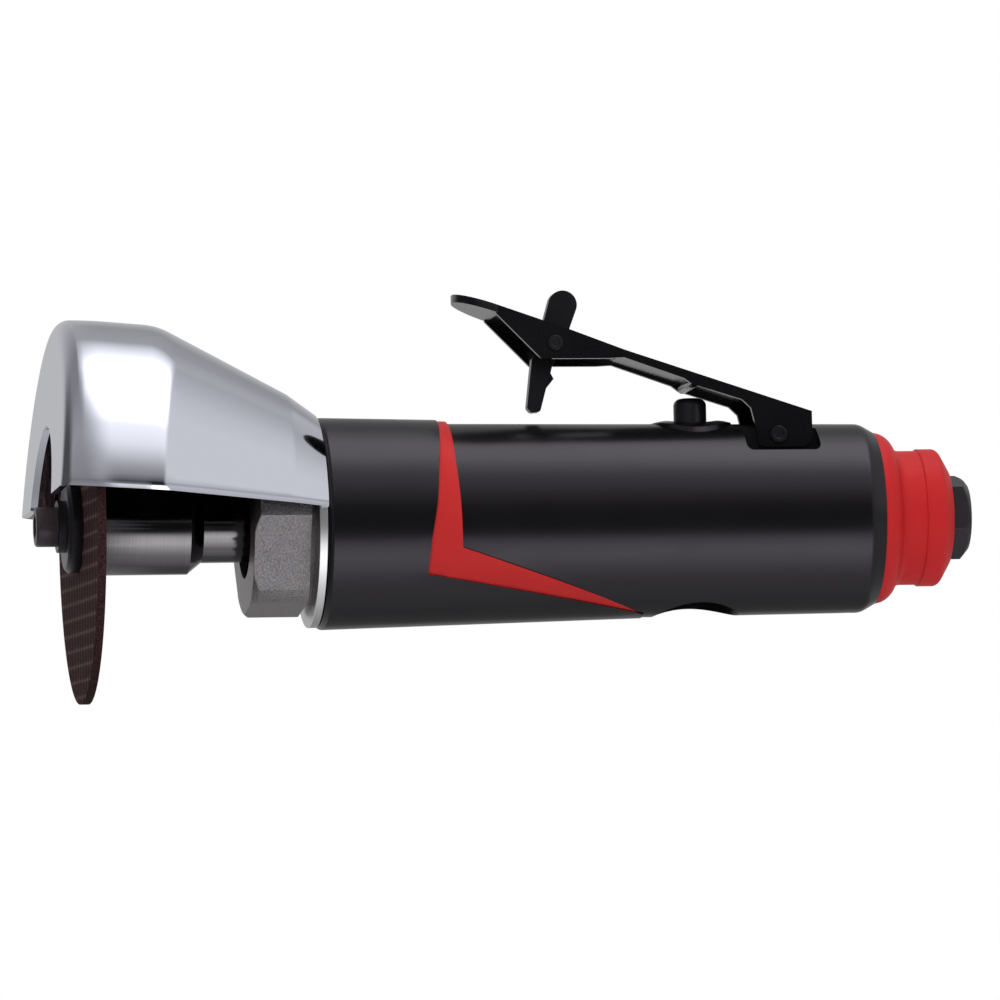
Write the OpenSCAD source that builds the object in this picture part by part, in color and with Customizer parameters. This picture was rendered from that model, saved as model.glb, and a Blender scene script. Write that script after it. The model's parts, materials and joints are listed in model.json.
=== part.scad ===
// Pneumatic cut off tool: an in-line vane motor drives a small abrasive wheel under a chromed guard.
// The tool lies along X, the origin is the mouth of the air inlet.
// The wheel is towards -X, and +Z is the lever side.

/* [Cutting wheel] */
// Diameter of the cutting wheel
wheel_d = 76.2; // [70:0.1:77]
// Thickness of the cutting wheel
wheel_t = 1.8; // [1.2:0.1:2.4]
// Bore of the metal ring in the wheel
wheel_bore_d = 9.6; // [9:0.1:10.4]
// Outer diameter of the metal ring in the wheel
wheel_ring_d = 14; // [12:0.1:16]

/* [Arbor] */
// Diameter of the arbor behind the wheel
arbor_d = 21.1; // [19:0.1:23]
// Length of the thick part of the arbor
arbor_len = 24.4; // [18:0.1:30]
// Diameter of the arbor's neck
neck_d = 16.2; // [14:0.1:17]
// Length of neck in view between the nut and the thick part
neck_len = 9.5; // [5:0.5:14]
// Diameter of the front wheel flange
flange_d = 20; // [18:0.1:22]
// Thickness of the front wheel flange
flange_t = 3; // [2:0.1:4]
// Thickness of the lock washer
washer_t = 1.6; // [1:0.1:2]
// Thread diameter of the wheel screw
screw_d = 6; // [5:0.1:6.4]
// Diameter of the screw's head
screw_head_d = 8.6; // [8:0.1:10]
// Height of the screw's head
screw_head_h = 4.7; // [4:0.1:7]

/* [Guard] */
// Sheet thickness of the guard
guard_t = 1.5; // [1:0.1:2]
// Gap between the wheel's rim and the inside of the guard
guard_wheel_gap = 2.6; // [1.8:0.1:4]
// Lean of the guard's front plate, in degrees
guard_lean = 5; // [3:0.5:6]
// How far the guard's front plate stands before the wheel's middle
guard_nose_len = 9.1; // [8.6:0.1:11]
// How far the guard's drum reaches behind the wheel's middle
guard_drum_len = 12.6; // [10:0.1:15]
// Diameter of the cut-out in the front plate
guard_mouth_d = 43; // [38:0.5:46]
// Thickness of the guard's clamped ring
guard_ring_t = 3; // [2:0.1:3.6]
// Diameter of the guard's clamped ring
guard_ring_d = 44.6; // [42:0.1:45]

/* [Clamp nut] */
// Distance across the flats of the clamp nut
nut_flats = 37.3; // [36.6:0.1:38]
// Length of the clamp nut's hexagon
nut_len = 12.2; // [10:0.1:16]
// Length of the clamp nut's shank
nut_shank_len = 12.5; // [11:0.5:14]
// Diameter of the recess in the clamp nut's front
nut_mouth_d = 23; // [21:0.1:25]

/* [Housing] */
// Length of the housing
housing_len = 121.4; // [119:0.1:126]
// Diameter of the housing at its front
housing_front_d = 45.6; // [45:0.1:48]
// Diameter of the housing at its rear
housing_rear_d = 40.8; // [40:0.1:41.2]
// Diameter of the grip where the accent ends
grip_mid_d = 41.7; // [41.4:0.1:42.4]
// Diameter of the grip's surface carried on to the front
grip_front_d = 43.1; // [42.6:0.1:44]
// Wall of the grip round the motor's bore
grip_wall = 3.35; // [3:0.05:3.6]
// Thickness of the accent inlay below its surface
accent_t = 1.2; // [0.8:0.1:1.6]

/* [Motor] */
// Length of the cylinder liner
liner_len = 34; // [30:0.5:36]
// Wall of the cylinder liner at its thinnest
liner_wall = 2.15; // [2:0.05:2.6]
// Offset of the liner's bore from the rotor's axis
liner_offset = 1.1; // [0.8:0.05:1.2]
// Number of rotor vanes
vane_count = 5; // [4:1:6]
// Thickness of a vane
vane_t = 1.9; // [1.5:0.1:2.2]
// Depth of a vane
vane_depth = 6.8; // [5:0.1:7]

/* [Lever] */
// Reach of the lever from its pin to its tip
lever_reach = 69.2; // [66:0.1:74]
// Width of the lever over its side plates
lever_w = 18.4; // [17:0.1:19]
// Sheet thickness of the lever
lever_t = 1.2; // [1:0.1:1.4]
// Distance of the lever's pin from the housing's rear
lever_back = 21.5; // [20.6:0.1:23]
// Height of the lever's pin above the axis
lever_up = 17.6; // [17.2:0.1:18]
// Diameter of the lever's pin
lever_pin_d = 3; // [2.6:0.1:3.2]
// Thickness of the safety latch
latch_t = 3; // [2.4:0.1:3.4]

/* [Valve] */
// Distance of the valve from the housing's rear
valve_back = 39.2; // [38.4:0.1:41]
// Diameter of the throttle plunger
plunger_d = 7.1; // [6.4:0.1:7.2]
// How far the plunger stands out of its pad
plunger_out = 4.8; // [4:0.1:5]
// Diameter of the valve bushing
bushing_d = 12; // [11:0.1:13]
// Diameter of the hole for the air regulator
regulator_d = 18.8; // [17.6:0.1:20]

/* [Air inlet] */
// Distance across the flats of the inlet bushing
inlet_flats = 16.3; // [15.8:0.1:17]
// Length of the inlet bushing's hexagon
inlet_hex_len = 4.5; // [3:0.1:6]
// Diameter of the threaded inlet hole
inlet_hole_d = 11.4; // [10:0.1:12]
// Depth of the threaded inlet hole
inlet_hole_len = 14; // [12:0.5:16]
// Diameter of the inlet bushing's shank
inlet_shank_d = 14.4; // [14:0.1:15.2]
// Length of the exhaust cover
cover_len = 16.3; // [15:0.1:20]
// Diameter of the exhaust cover's flange
cover_flange_d = 37; // [36:0.1:38]
// Diameter of the exhaust cover's waist
cover_waist_d = 29; // [28.6:0.1:29.6]
// Number of exhaust holes
exhaust_count = 16; // [8:1:18]

/* [Hidden] */

$fn = 96;

// Clearance of pieces that are pushed together and stay, and of pieces that turn or slide
fit_gap = 0.05;
run_gap = 0.08;
// How far every cut runs past the piece that it cuts
overrun = 1;

// Stations along the axis, from the inlet's mouth towards the wheel
cover_x = -inlet_hex_len;
housing_rear_x = cover_x - cover_len;
housing_front_x = housing_rear_x - housing_len;
guard_axial_gap = 0.1;
ring_rear_x = housing_front_x - guard_axial_gap;
nut_rear_x = ring_rear_x - guard_ring_t - guard_axial_gap;
nut_front_x = nut_rear_x - nut_len;
arbor_rear_x = nut_front_x - neck_len;
wheel_rear_x = arbor_rear_x - arbor_len;
wheel_front_x = wheel_rear_x - wheel_t;
flange_front_x = wheel_front_x - flange_t;
washer_front_x = flange_front_x - washer_t;
screw_front_x = washer_front_x - screw_head_h;
wheel_mid_x = wheel_rear_x - wheel_t / 2;
motor_front_x = nut_rear_x + nut_shank_len;
valve_x = housing_rear_x - valve_back;
lever_x = housing_rear_x - lever_back;

// Ball bearings, each as its bore, outer diameter, width and ball diameter
front_bearing_bore = 10;
front_bearing_od = 26;
front_bearing_w = 8;
front_ball_d = 4.76;
rear_bearing_bore = 8;
rear_bearing_od = 22;
rear_bearing_w = 7;
rear_ball_d = 3.97;
front_bearing = [front_bearing_bore, front_bearing_od, front_bearing_w, front_ball_d];
rear_bearing = [rear_bearing_bore, rear_bearing_od, rear_bearing_w, rear_ball_d];
ball_count = 7;
race_shoulder_share = 0.6;
cage_half_share = 0.36;
cage_width_share = 1.25;

// The motor's stack inside the housing's bore
front_web_t = 4;
rear_web_t = 3;
gasket_t = 1.5;
motor_bore_d = grip_mid_d - 2 * grip_wall;
bore_piece_r = motor_bore_d / 2 - fit_gap;
nut_shank_gap = 0.2;
nut_shank_d = motor_bore_d - 2 * nut_shank_gap;
liner_bore_d = 2 * (bore_piece_r - liner_offset - liner_wall);
liner_front_x = motor_front_x + front_bearing_w + front_web_t;
liner_rear_x = liner_front_x + liner_len;
rear_bearing_x = liner_rear_x + rear_web_t;
gasket_x = rear_bearing_x + rear_bearing_w;
motor_rear_x = gasket_x + gasket_t;
rotor_gap = 0.15;
rotor_end_gap = 0.15;
rotor_r = liner_bore_d / 2 - liner_offset - rotor_gap;
journal_gap = 1;
rear_stub_len = 0.8;
liner_pin_d = 2.4;
liner_pin_len = 38;
liner_pin_up = (bore_piece_r + liner_bore_d / 2 - liner_offset) / 2;
exhaust_hole_d = 4.4;
exhaust_side = 13.4;
liner_port_d = 3;
liner_port_count = 4;

// A point of the outline, turned into a polygon corner with a round of its own
function unit2(v) = v / norm(v);
function cross2(a, b) = a[0] * b[1] - a[1] * b[0];
function side2(v) = [-v[1], v[0]];
function before(pts, i) = unit2(pts[i] - pts[(i + len(pts) - 1) % len(pts)]);
function after(pts, i) = unit2(pts[(i + 1) % len(pts)] - pts[i]);
function bend(pts, i) = acos(max(-1, min(1, before(pts, i) * after(pts, i))));
function run_in(pts, i, r) = r * tan(bend(pts, i) / 2);
function round_start(pts, i, r) = pts[i] - run_in(pts, i, r) * before(pts, i);
function round_end(pts, i, r) = pts[i] + run_in(pts, i, r) * after(pts, i);
function round_centre(pts, i, r) =
  round_start(pts, i, r) + r * sign(cross2(before(pts, i), after(pts, i))) * side2(before(pts, i));

// An outline whose outward corners are rounded by true arcs; a radius of zero leaves a corner sharp
module soft_outline(pts, radii) {
  polygon([
    for (i = [0 : len(pts) - 1])
      each (radii[i] > 0 ? [round_start(pts, i, radii[i]), round_end(pts, i, radii[i])] : [pts[i]])
  ]);
  for (i = [0 : len(pts) - 1])
    if (radii[i] > 0)
      translate(round_centre(pts, i, radii[i])) circle(r = radii[i]);
}

// A closed outline moved inwards by a wall, where the inside lies to the left of its run
function inward(pts, i, t) =
  let (a = side2(before(pts, i)), b = side2(after(pts, i)), m = unit2(a + b))
  pts[i] + m * (t / (m * a));
function inset(pts, t) = [for (i = [0 : len(pts) - 1]) inward(pts, i, t)];

// Bodies turned about the tool's axis or about the valve's axis; a point is a radius and a place on the axis
module about_x() {
  rotate([0, 90, 0]) rotate_extrude() children();
}
module turned(pts) {
  about_x() polygon(pts);
}
module soft_turned(pts, radii) {
  about_x() soft_outline(pts, radii);
}
module about_valve() {
  translate([valve_x, 0, 0]) rotate_extrude() children();
}

// A plain rod or tube along X between two stations
module rod_x(x0, x1, r) {
  translate([x0, 0, 0]) rotate([0, 90, 0]) cylinder(h = x1 - x0, r = r);
}
module tube_x(x0, x1, r_in, r_out) {
  turned([[r_in, x0], [r_out, x0], [r_out, x1], [r_in, x1]]);
}

// A side outline in X and Z, given width across the tool
module across(width) {
  rotate([90, 0, 0]) linear_extrude(height = width, center = true) children();
}

// A tube of six sides swept along points, for springs
function ring_frame(path, i) =
  let (
    a = path[max(0, i - 1)],
    b = path[min(len(path) - 1, i + 1)],
    t = (b - a) / norm(b - a),
    u = cross(t, abs(t[1]) < abs(t[2]) ? [0, 1, 0] : [0, 0, 1]),
    n = u / norm(u)
  ) [n, cross(t, n)];
wire_sides = 6;
module swept_wire(path, r) {
  rings = len(path);
  points = [
    for (i = [0 : rings - 1])
      let (f = ring_frame(path, i))
      for (k = [0 : wire_sides - 1])
        path[i] + r * (cos(360 * k / wire_sides) * f[0] + sin(360 * k / wire_sides) * f[1])
  ];
  walls = [
    for (i = [0 : rings - 2])
      for (k = [0 : wire_sides - 1])
        let (a = i * wire_sides + k, b = i * wire_sides + (k + 1) % wire_sides)
        each [[a, b, b + wire_sides], [a, b + wire_sides, a + wire_sides]]
  ];
  last = (rings - 1) * wire_sides;
  caps = [for (k = [1 : wire_sides - 2]) each [[0, k + 1, k], [last, last + k, last + k + 1]]];
  polyhedron(points = points, faces = concat(walls, caps));
}

// Housing: a tapered grip with a raised front that the accent borders
accent_tip_share = 0.579;
accent_front_shares = [[0.22, 1.1], [0.202, 0.51], [0.194, 0.115], [0.183, -0.233], [0.178, -0.55]];
accent_rear_shares = [[0.239, -0.31], [0.236, 0.115], [0.232, 0.51], [0.233, 1.1]];
accent_tip_up_share = -0.905;
raised_tip_step = 0.2;
housing_edge_r = 1.2;
housing_chamfer_drop = 1.7;
housing_chamfer_len = 3;
housing_rear_round = 3.6;
accent_tip_x = housing_front_x + accent_tip_share * housing_len;
raised_tip_r = grip_mid_d / 2 + raised_tip_step;
accent_sink = 0.3;
accent_side_w = 2 * housing_front_d;

function accent_point(s) = [housing_front_x + s[0] * housing_len, s[1] * housing_front_d / 2];
accent_tip = accent_point([accent_tip_share, accent_tip_up_share]);
accent_front = [for (s = accent_front_shares) accent_point(s)];
accent_rear = [for (s = accent_rear_shares) accent_point(s)];

module accent_mask() {
  across(accent_side_w) polygon(concat(accent_front, [accent_tip], accent_rear));
}
module raised_mask() {
  across(accent_side_w) polygon(concat(
    accent_front,
    [accent_tip, [accent_tip[0], -housing_front_d], [housing_front_x - overrun, -housing_front_d]],
    [[housing_front_x - overrun, accent_front[0][1]]]
  ));
}
module raised_body(sink) {
  soft_turned(
    [
      [0, housing_front_x],
      [housing_front_d / 2 - sink, housing_front_x],
      [raised_tip_r - sink, accent_tip_x],
      [0, accent_tip_x]
    ],
    [0, housing_edge_r, 0, 0]
  );
}
module grip_body(sink) {
  soft_turned(
    [
      [0, housing_front_x + housing_edge_r],
      [grip_front_d / 2 - sink, housing_front_x + housing_edge_r],
      [grip_mid_d / 2 - sink, accent_tip_x],
      [housing_rear_d / 2 - sink, housing_rear_x - housing_chamfer_len],
      [housing_rear_d / 2 - sink - housing_chamfer_drop, housing_rear_x],
      [0, housing_rear_x]
    ],
    [0, 0, 0, housing_rear_round, 0, 0]
  );
}

// Places of the lever, the valve and the inlet on the housing
pad_len = 21;
pad_flat_len = 13;
pad_rise = 0.65;
pad_round = 10;
pad_top_d = 16;
pad_foot_d = 36;
pad_top = grip_mid_d / 2 + pad_rise;
bushing_sink = 0.9;
bushing_top = pad_top - bushing_sink;
lug_r = 3.2;
lug_side_gap = 0.4;
lug_w = lever_w - 2 * lever_t - 2 * lug_side_gap;
notch_len = 16.2;
notch_ahead = 7.9;
notch_floor_drop = 3.9;
notch_corner_r = 1.5;
valve_bore_d = bushing_d + 2 * fit_gap;
regulator_seat_z = -9;
clip_drop = 6;
clip_t = 1;
clip_groove = 0.5;
inlet_thread_len = 14;
inlet_passage_d = 9;
o_ring_wire_d = 1.5;
o_ring_groove_len = o_ring_wire_d + 2 * fit_gap;

module housing() {
  color("#262528") difference() {
    union() {
      grip_body(0);
      intersection() {
        raised_body(0);
        raised_mask();
      }
      valve_pad();
      translate([lever_x, 0, lever_up]) {
        across(lug_w) circle(r = lug_r);
        across(lug_w) translate([-lug_r, -lug_r - overrun]) square([2 * lug_r, lug_r + overrun]);
      }
    }
    accent_pocket();
    rod_x(housing_front_x - overrun, motor_rear_x, motor_bore_d / 2);
    lever_notches();
    translate([lever_x, 0, lever_up]) across(lug_w + overrun) circle(d = lever_pin_d + 2 * fit_gap);
    about_valve() square([valve_bore_d / 2, pad_top + overrun]);
    about_valve() translate([0, regulator_seat_z]) square([valve_bore_d / 2, -regulator_seat_z]);
    about_valve() translate([0, -grip_mid_d]) square([regulator_d / 2, grip_mid_d + regulator_seat_z]);
    about_valve() translate([0, regulator_seat_z - clip_drop - clip_t - fit_gap])
      square([regulator_d / 2 + clip_groove + fit_gap, clip_t + 2 * fit_gap]);
    rod_x(housing_rear_x - inlet_thread_len, housing_rear_x + overrun, inlet_shank_d / 2 + fit_gap);
    rod_x(
      housing_rear_x - o_ring_groove_len, housing_rear_x + overrun,
      inlet_shank_d / 2 + o_ring_groove_len
    );
    rod_x(valve_x, housing_rear_x, inlet_passage_d / 2);
    translate([0, 0, port_z]) rod_x(motor_rear_x - overrun, valve_x, port_d / 2);
    exhaust_passages(motor_rear_x - overrun, housing_rear_x + overrun);
  }
}
// The low pad that the plunger comes out of: a saddle on the grip with a soft rise at both ends
module valve_pad() {
  foot_r = housing_rear_d / 2;
  intersection() {
    soft_turned(
      [
        [0, valve_x - pad_len / 2],
        [foot_r, valve_x - pad_len / 2],
        [pad_top, valve_x - pad_flat_len / 2],
        [pad_top, valve_x + pad_flat_len / 2],
        [foot_r, valve_x + pad_len / 2],
        [0, valve_x + pad_len / 2]
      ],
      [0, 0, pad_round, pad_round, 0, 0]
    );
    about_valve() polygon([
      [0, 0],
      [pad_foot_d / 2, 0],
      [pad_top_d / 2, pad_top + overrun],
      [0, pad_top + overrun]
    ]);
  }
}
// Two passages that lead the used air back to the rear
module exhaust_passages(x0, x1) {
  for (side = [-1, 1])
    translate([0, side * exhaust_side, 0]) rod_x(x0, x1, exhaust_hole_d / 2);
}
// Flats beside the pivot lug that the lever's ears swing in
module lever_notches() {
  notch_x = lever_x - notch_ahead;
  notch_z = lever_up - notch_floor_drop;
  for (side = [-1, 1])
    translate([0, side * (lug_w + housing_front_d) / 2, 0])
      across(housing_front_d) soft_outline(
        [
          [notch_x, notch_z],
          [notch_x + notch_len, notch_z],
          [notch_x + notch_len, housing_front_d],
          [notch_x, housing_front_d]
        ],
        [notch_corner_r, notch_corner_r, 0, 0]
      );
}
module accent_pocket() {
  intersection() {
    accent_mask();
    difference() {
      raised_body(-overrun);
      grip_body(accent_t);
    }
  }
}
module accent_inlay() {
  color("#c02a2c") intersection() {
    accent_mask();
    difference() {
      raised_body(accent_sink);
      grip_body(accent_t - fit_gap);
    }
  }
}

// Clamp nut: a turned hexagon whose shank holds the guard's ring and the front bearing
nut_clock = 23.5;
nut_corner_d = 40.9;
nut_chamfer = 1.2;
nut_mouth_len = 18;
nut_lip_d = 18;
seal_len = 4;
module clamp_nut() {
  color("#77726c") difference() {
    union() {
      intersection() {
        translate([nut_front_x, 0, 0]) rotate([0, 90, 0]) rotate(nut_clock)
          cylinder(h = nut_len, d = nut_flats / cos(30), $fn = 6);
        turned([
          [0, nut_front_x],
          [nut_corner_d / 2 - nut_chamfer, nut_front_x],
          [nut_corner_d / 2, nut_front_x + nut_chamfer],
          [nut_corner_d / 2, nut_rear_x],
          [0, nut_rear_x]
        ]);
      }
      rod_x(nut_rear_x - overrun, motor_front_x, nut_shank_d / 2);
    }
    rod_x(nut_front_x - overrun, nut_front_x + nut_mouth_len, nut_mouth_d / 2);
    rod_x(nut_front_x, motor_front_x + overrun, nut_lip_d / 2);
  }
}
module front_dust_seal() {
  seal_x = nut_front_x + nut_mouth_len - seal_len;
  color("#3a2f28") tube_x(seal_x, seal_x + seal_len, neck_d / 2 + run_gap, nut_mouth_d / 2 - fit_gap);
}

// Ball bearings
function pitch_r(b) = (b[0] + b[1]) / 4;
module bearing_ring(x, b, r_in, r_out) {
  about_x() difference() {
    translate([r_in, x]) square([r_out - r_in, b[2]]);
    translate([pitch_r(b), x + b[2] / 2]) circle(r = b[3] / 2 + fit_gap);
  }
}
module bearing_outer(x, b) {
  bearing_ring(x, b, pitch_r(b) + race_shoulder_share * b[3] / 2, b[1] / 2);
}
module bearing_inner(x, b) {
  bearing_ring(x, b, b[0] / 2, pitch_r(b) - race_shoulder_share * b[3] / 2);
}
module bearing_balls(x, b, extra) {
  for (i = [0 : ball_count - 1])
    translate([x + b[2] / 2, 0, 0]) rotate([360 * i / ball_count, 0, 0])
      translate([0, 0, pitch_r(b)]) sphere(d = b[3] + 2 * extra);
}
module bearing_cage(x, b) {
  half = cage_half_share * b[3] / 2;
  wide = cage_width_share * b[3];
  difference() {
    tube_x(x + (b[2] - wide) / 2, x + (b[2] + wide) / 2, pitch_r(b) - half, pitch_r(b) + half);
    bearing_balls(x, b, fit_gap);
  }
}
module front_bearing_outer_ring() {
  color("silver") bearing_outer(motor_front_x, front_bearing);
}
module front_bearing_inner_ring() {
  color("silver") bearing_inner(motor_front_x, front_bearing);
}
module front_bearing_balls() {
  color("gainsboro") bearing_balls(motor_front_x, front_bearing, 0);
}
module front_bearing_cage() {
  color("darkkhaki") bearing_cage(motor_front_x, front_bearing);
}
module rear_bearing_outer_ring() {
  color("silver") bearing_outer(rear_bearing_x, rear_bearing);
}
module rear_bearing_inner_ring() {
  color("silver") bearing_inner(rear_bearing_x, rear_bearing);
}
module rear_bearing_balls() {
  color("gainsboro") bearing_balls(rear_bearing_x, rear_bearing, 0);
}
module rear_bearing_cage() {
  color("darkkhaki") bearing_cage(rear_bearing_x, rear_bearing);
}

// Vane motor
motor_mid_x = (liner_front_x + liner_rear_x) / 2;
module pin_rod(length, d) {
  translate([0, 0, liner_pin_up]) rod_x(motor_mid_x - length / 2, motor_mid_x + length / 2, d / 2);
}
module liner_pin_hole() {
  pin_rod(2 * liner_pin_len, liner_pin_d + 2 * fit_gap);
}
module front_end_plate() {
  color("dimgray") difference() {
    rod_x(motor_front_x, liner_front_x, bore_piece_r);
    rod_x(motor_front_x - overrun, motor_front_x + front_bearing_w, front_bearing_od / 2 + fit_gap);
    rod_x(motor_front_x, liner_front_x + overrun, front_bearing_bore / 2 + journal_gap);
    liner_pin_hole();
  }
}
module cylinder_liner() {
  color("slategray") difference() {
    rod_x(liner_front_x, liner_rear_x, bore_piece_r);
    translate([0, 0, -liner_offset]) rod_x(liner_front_x - overrun, liner_rear_x + overrun, liner_bore_d / 2);
    liner_pin_hole();
    for (i = [1 : liner_port_count])
      translate([liner_front_x + liner_len * i / (liner_port_count + 1), 0, -bore_piece_r])
        cylinder(h = bore_piece_r, d = liner_port_d, center = true);
  }
}
module liner_pin() {
  color("silver") pin_rod(liner_pin_len, liner_pin_d);
}
arbor_socket_len = 20;
module rotor() {
  color("gray") difference() {
    union() {
      rod_x(liner_front_x + rotor_end_gap, liner_rear_x - rotor_end_gap, rotor_r);
      rod_x(motor_front_x - arbor_socket_len, liner_front_x + overrun, front_bearing_bore / 2 - fit_gap);
      rod_x(liner_rear_x - overrun, gasket_x + rear_stub_len, rear_bearing_bore / 2 - fit_gap);
    }
    vane_places(vane_t + 2 * fit_gap, vane_depth + 2 * fit_gap, liner_len, overrun);
  }
}
// Places of the vanes in the rotor, which stand out of it by a given amount
module vane_places(t, depth, length, out) {
  for (i = [0 : vane_count - 1])
    rotate([360 * i / vane_count, 0, 0])
      translate([motor_mid_x - length / 2, -t / 2, rotor_r - depth]) cube([length, t, depth + out]);
}
vane_tip_gap = 0.15;
module rotor_vanes() {
  color("saddlebrown") intersection() {
    vane_places(vane_t, vane_depth, liner_len - 2 * rotor_end_gap, 0);
    rod_x(liner_front_x, liner_rear_x, rotor_r - vane_tip_gap);
  }
}
module rear_end_plate() {
  color("dimgray") difference() {
    rod_x(liner_rear_x, gasket_x, bore_piece_r);
    rod_x(rear_bearing_x, gasket_x + overrun, rear_bearing_od / 2 + fit_gap);
    rod_x(liner_rear_x - overrun, rear_bearing_x, rear_bearing_bore / 2 + journal_gap);
    liner_pin_hole();
    exhaust_passages(liner_rear_x - overrun, motor_rear_x + overrun);
  }
}
gasket_lip = 1;
module rear_gasket() {
  color("olive") difference() {
    tube_x(gasket_x, motor_rear_x, rear_bearing_od / 2 - gasket_lip, bore_piece_r);
    exhaust_passages(liner_rear_x - overrun, motor_rear_x + overrun);
  }
}

// Spindle: the arbor, the wheel and what clamps it
arbor_chamfer = 3;
arbor_edge_r = 0.5;
pilot_short = 0.3;
screw_len = 18;
screw_hole_len = 20;
screw_socket_flats = 5;
screw_socket_len = 3;
screw_edge_r = 0.6;
washer_d = 11.2;
washer_split = 0.8;
flange_relief = 0.3;
flange_chamfer = 0.8;
module spindle_arbor() {
  color("#3c3b3d") difference() {
    union() {
      soft_turned(
        [
          [0, wheel_rear_x],
          [arbor_d / 2, wheel_rear_x],
          [arbor_d / 2, arbor_rear_x - arbor_chamfer],
          [neck_d / 2, arbor_rear_x],
          [0, arbor_rear_x]
        ],
        [0, arbor_edge_r, 0, 0, 0]
      );
      rod_x(arbor_rear_x - overrun, motor_front_x, neck_d / 2);
      rod_x(wheel_front_x + pilot_short, wheel_rear_x + overrun, wheel_bore_d / 2 - fit_gap);
    }
    rod_x(motor_front_x - arbor_socket_len - overrun, motor_front_x + overrun, front_bearing_bore / 2);
    rod_x(wheel_front_x, washer_front_x + screw_hole_len, screw_d / 2 + fit_gap);
  }
}
module cutting_wheel() {
  color("#4a2f2c") tube_x(wheel_front_x, wheel_rear_x, wheel_ring_d / 2 + fit_gap, wheel_d / 2);
}
module wheel_bore_ring() {
  color("silver") tube_x(wheel_front_x, wheel_rear_x, wheel_bore_d / 2, wheel_ring_d / 2);
}
module wheel_flange() {
  color("#1d1c1e") difference() {
    turned([
      [screw_d / 2 + fit_gap, flange_front_x],
      [flange_d / 2 - flange_chamfer, flange_front_x],
      [flange_d / 2, flange_front_x + flange_chamfer],
      [flange_d / 2, wheel_front_x],
      [screw_d / 2 + fit_gap, wheel_front_x]
    ]);
    rod_x(wheel_front_x - flange_relief, wheel_front_x + overrun, wheel_bore_d / 2);
  }
}
module lock_washer() {
  color("dimgray") difference() {
    tube_x(washer_front_x, flange_front_x, screw_d / 2 + fit_gap, washer_d / 2);
    translate([washer_front_x - overrun, -washer_split / 2, 0])
      cube([washer_t + 2 * overrun, washer_split, washer_d]);
  }
}
module wheel_screw() {
  color("#2b2a2c") difference() {
    union() {
      soft_turned(
        [
          [0, screw_front_x],
          [screw_head_d / 2, screw_front_x],
          [screw_head_d / 2, washer_front_x],
          [0, washer_front_x]
        ],
        [0, screw_edge_r, 0, 0]
      );
      rod_x(washer_front_x - overrun, washer_front_x + screw_len, screw_d / 2);
    }
    translate([screw_front_x - overrun, 0, 0]) rotate([0, 90, 0])
      cylinder(h = screw_socket_len + overrun, d = screw_socket_flats / cos(30), $fn = 6);
  }
}

// Guard: a drawn drum and cone on a leaning axis, closed by a flat ring that the nut clamps
guard_lift = 1.9;
guard_cone_len = 28.9;
guard_cone_end_r = 29.8;
guard_tail_len = 12.6;
guard_tail_drop = 7.6;
guard_nose_r = 3;
guard_shoulder_r = 14;
guard_tail_r = 9;
guard_edge_front = 5.4;
guard_edge_rear = 1.7;
guard_drum_r = wheel_d / 2 + guard_wheel_gap + guard_t;
guard_room = 2 * guard_drum_r;
guard_outline = [
  [0, -guard_nose_len],
  [guard_drum_r, -guard_nose_len],
  [guard_drum_r, guard_drum_len],
  [guard_cone_end_r, guard_drum_len + guard_cone_len],
  [guard_cone_end_r - guard_tail_drop, guard_drum_len + guard_cone_len + guard_tail_len],
  [0, guard_drum_len + guard_cone_len + guard_tail_len]
];
guard_inset = inset(guard_outline, guard_t);
guard_inside = [for (i = [0 : len(guard_inset) - 1])
  i == 0 || i == len(guard_inset) - 1 ? [0, guard_inset[i][1]] : guard_inset[i]];

module guard_form(pts, wall, rear_x) {
  difference() {
    translate([wheel_mid_x, 0, guard_lift]) rotate([0, guard_lean, 0]) soft_turned(
      pts,
      [0, guard_nose_r - wall, guard_shoulder_r - wall, guard_tail_r - wall, 0, 0]
    );
    translate([rear_x, -guard_room, -guard_room]) cube(2 * guard_room);
  }
}
module guard_below() {
  front_x = wheel_mid_x - guard_room;
  slope = (guard_edge_front - guard_edge_rear) / (ring_rear_x - wheel_mid_x + guard_nose_len);
  across(2 * guard_room) polygon([
    [ring_rear_x + overrun, guard_edge_rear - overrun * slope],
    [front_x, guard_edge_rear + (ring_rear_x - front_x) * slope],
    [front_x, -guard_room],
    [ring_rear_x + overrun, -guard_room]
  ]);
}
module wheel_guard() {
  color("#d8dade") difference() {
    union() {
      difference() {
        guard_form(guard_outline, 0, ring_rear_x);
        guard_form(guard_inside, guard_t, ring_rear_x - guard_ring_t);
        guard_below();
      }
      rod_x(ring_rear_x - guard_ring_t, ring_rear_x, guard_ring_d / 2);
    }
    rod_x(ring_rear_x - guard_ring_t - overrun, ring_rear_x + overrun, nut_shank_d / 2 + run_gap);
    rod_x(wheel_mid_x - guard_room, wheel_mid_x, guard_mouth_d / 2);
  }
}

// Throttle lever: a pressed channel, in shares of its reach, from the pin forwards and upwards
lever_top_shares = [
  [-0.107, 0.072], [0.477, 0.268], [0.643, 0.331], [0.85, 0.4035], [0.87, 0.4105], [1, 0.456]
];
lever_plate_shares = [
  [0.881, 0.386], [0.741, 0.243], [0.531, 0.242], [0.481, 0.2445], [0.293, 0.178], [0.271, 0.161],
  [0.112, 0.11], [0.085, 0.084], [0.07, 0.02], [0.062, -0.028], [0.047, -0.039],
  [-0.083, -0.039], [-0.103, -0.023], [-0.107, 0]
];
lever_tip_t = 1.7;
lever_tip_corner = 8.8;
lever_hem_share = 0.868;
press_gap = 1.9;
press_r = 1.3;
pin_head_d = 3.6;
pin_head_t = 0.6;
latch_share = [0.696, 0.292];
pin_dimple_share = 0.55;
slot_ahead = 5;
slot_behind = 14.5;
slot_w = 4;
latch_pin_d = 2.8;
latch_head_d = 3.2;
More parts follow.
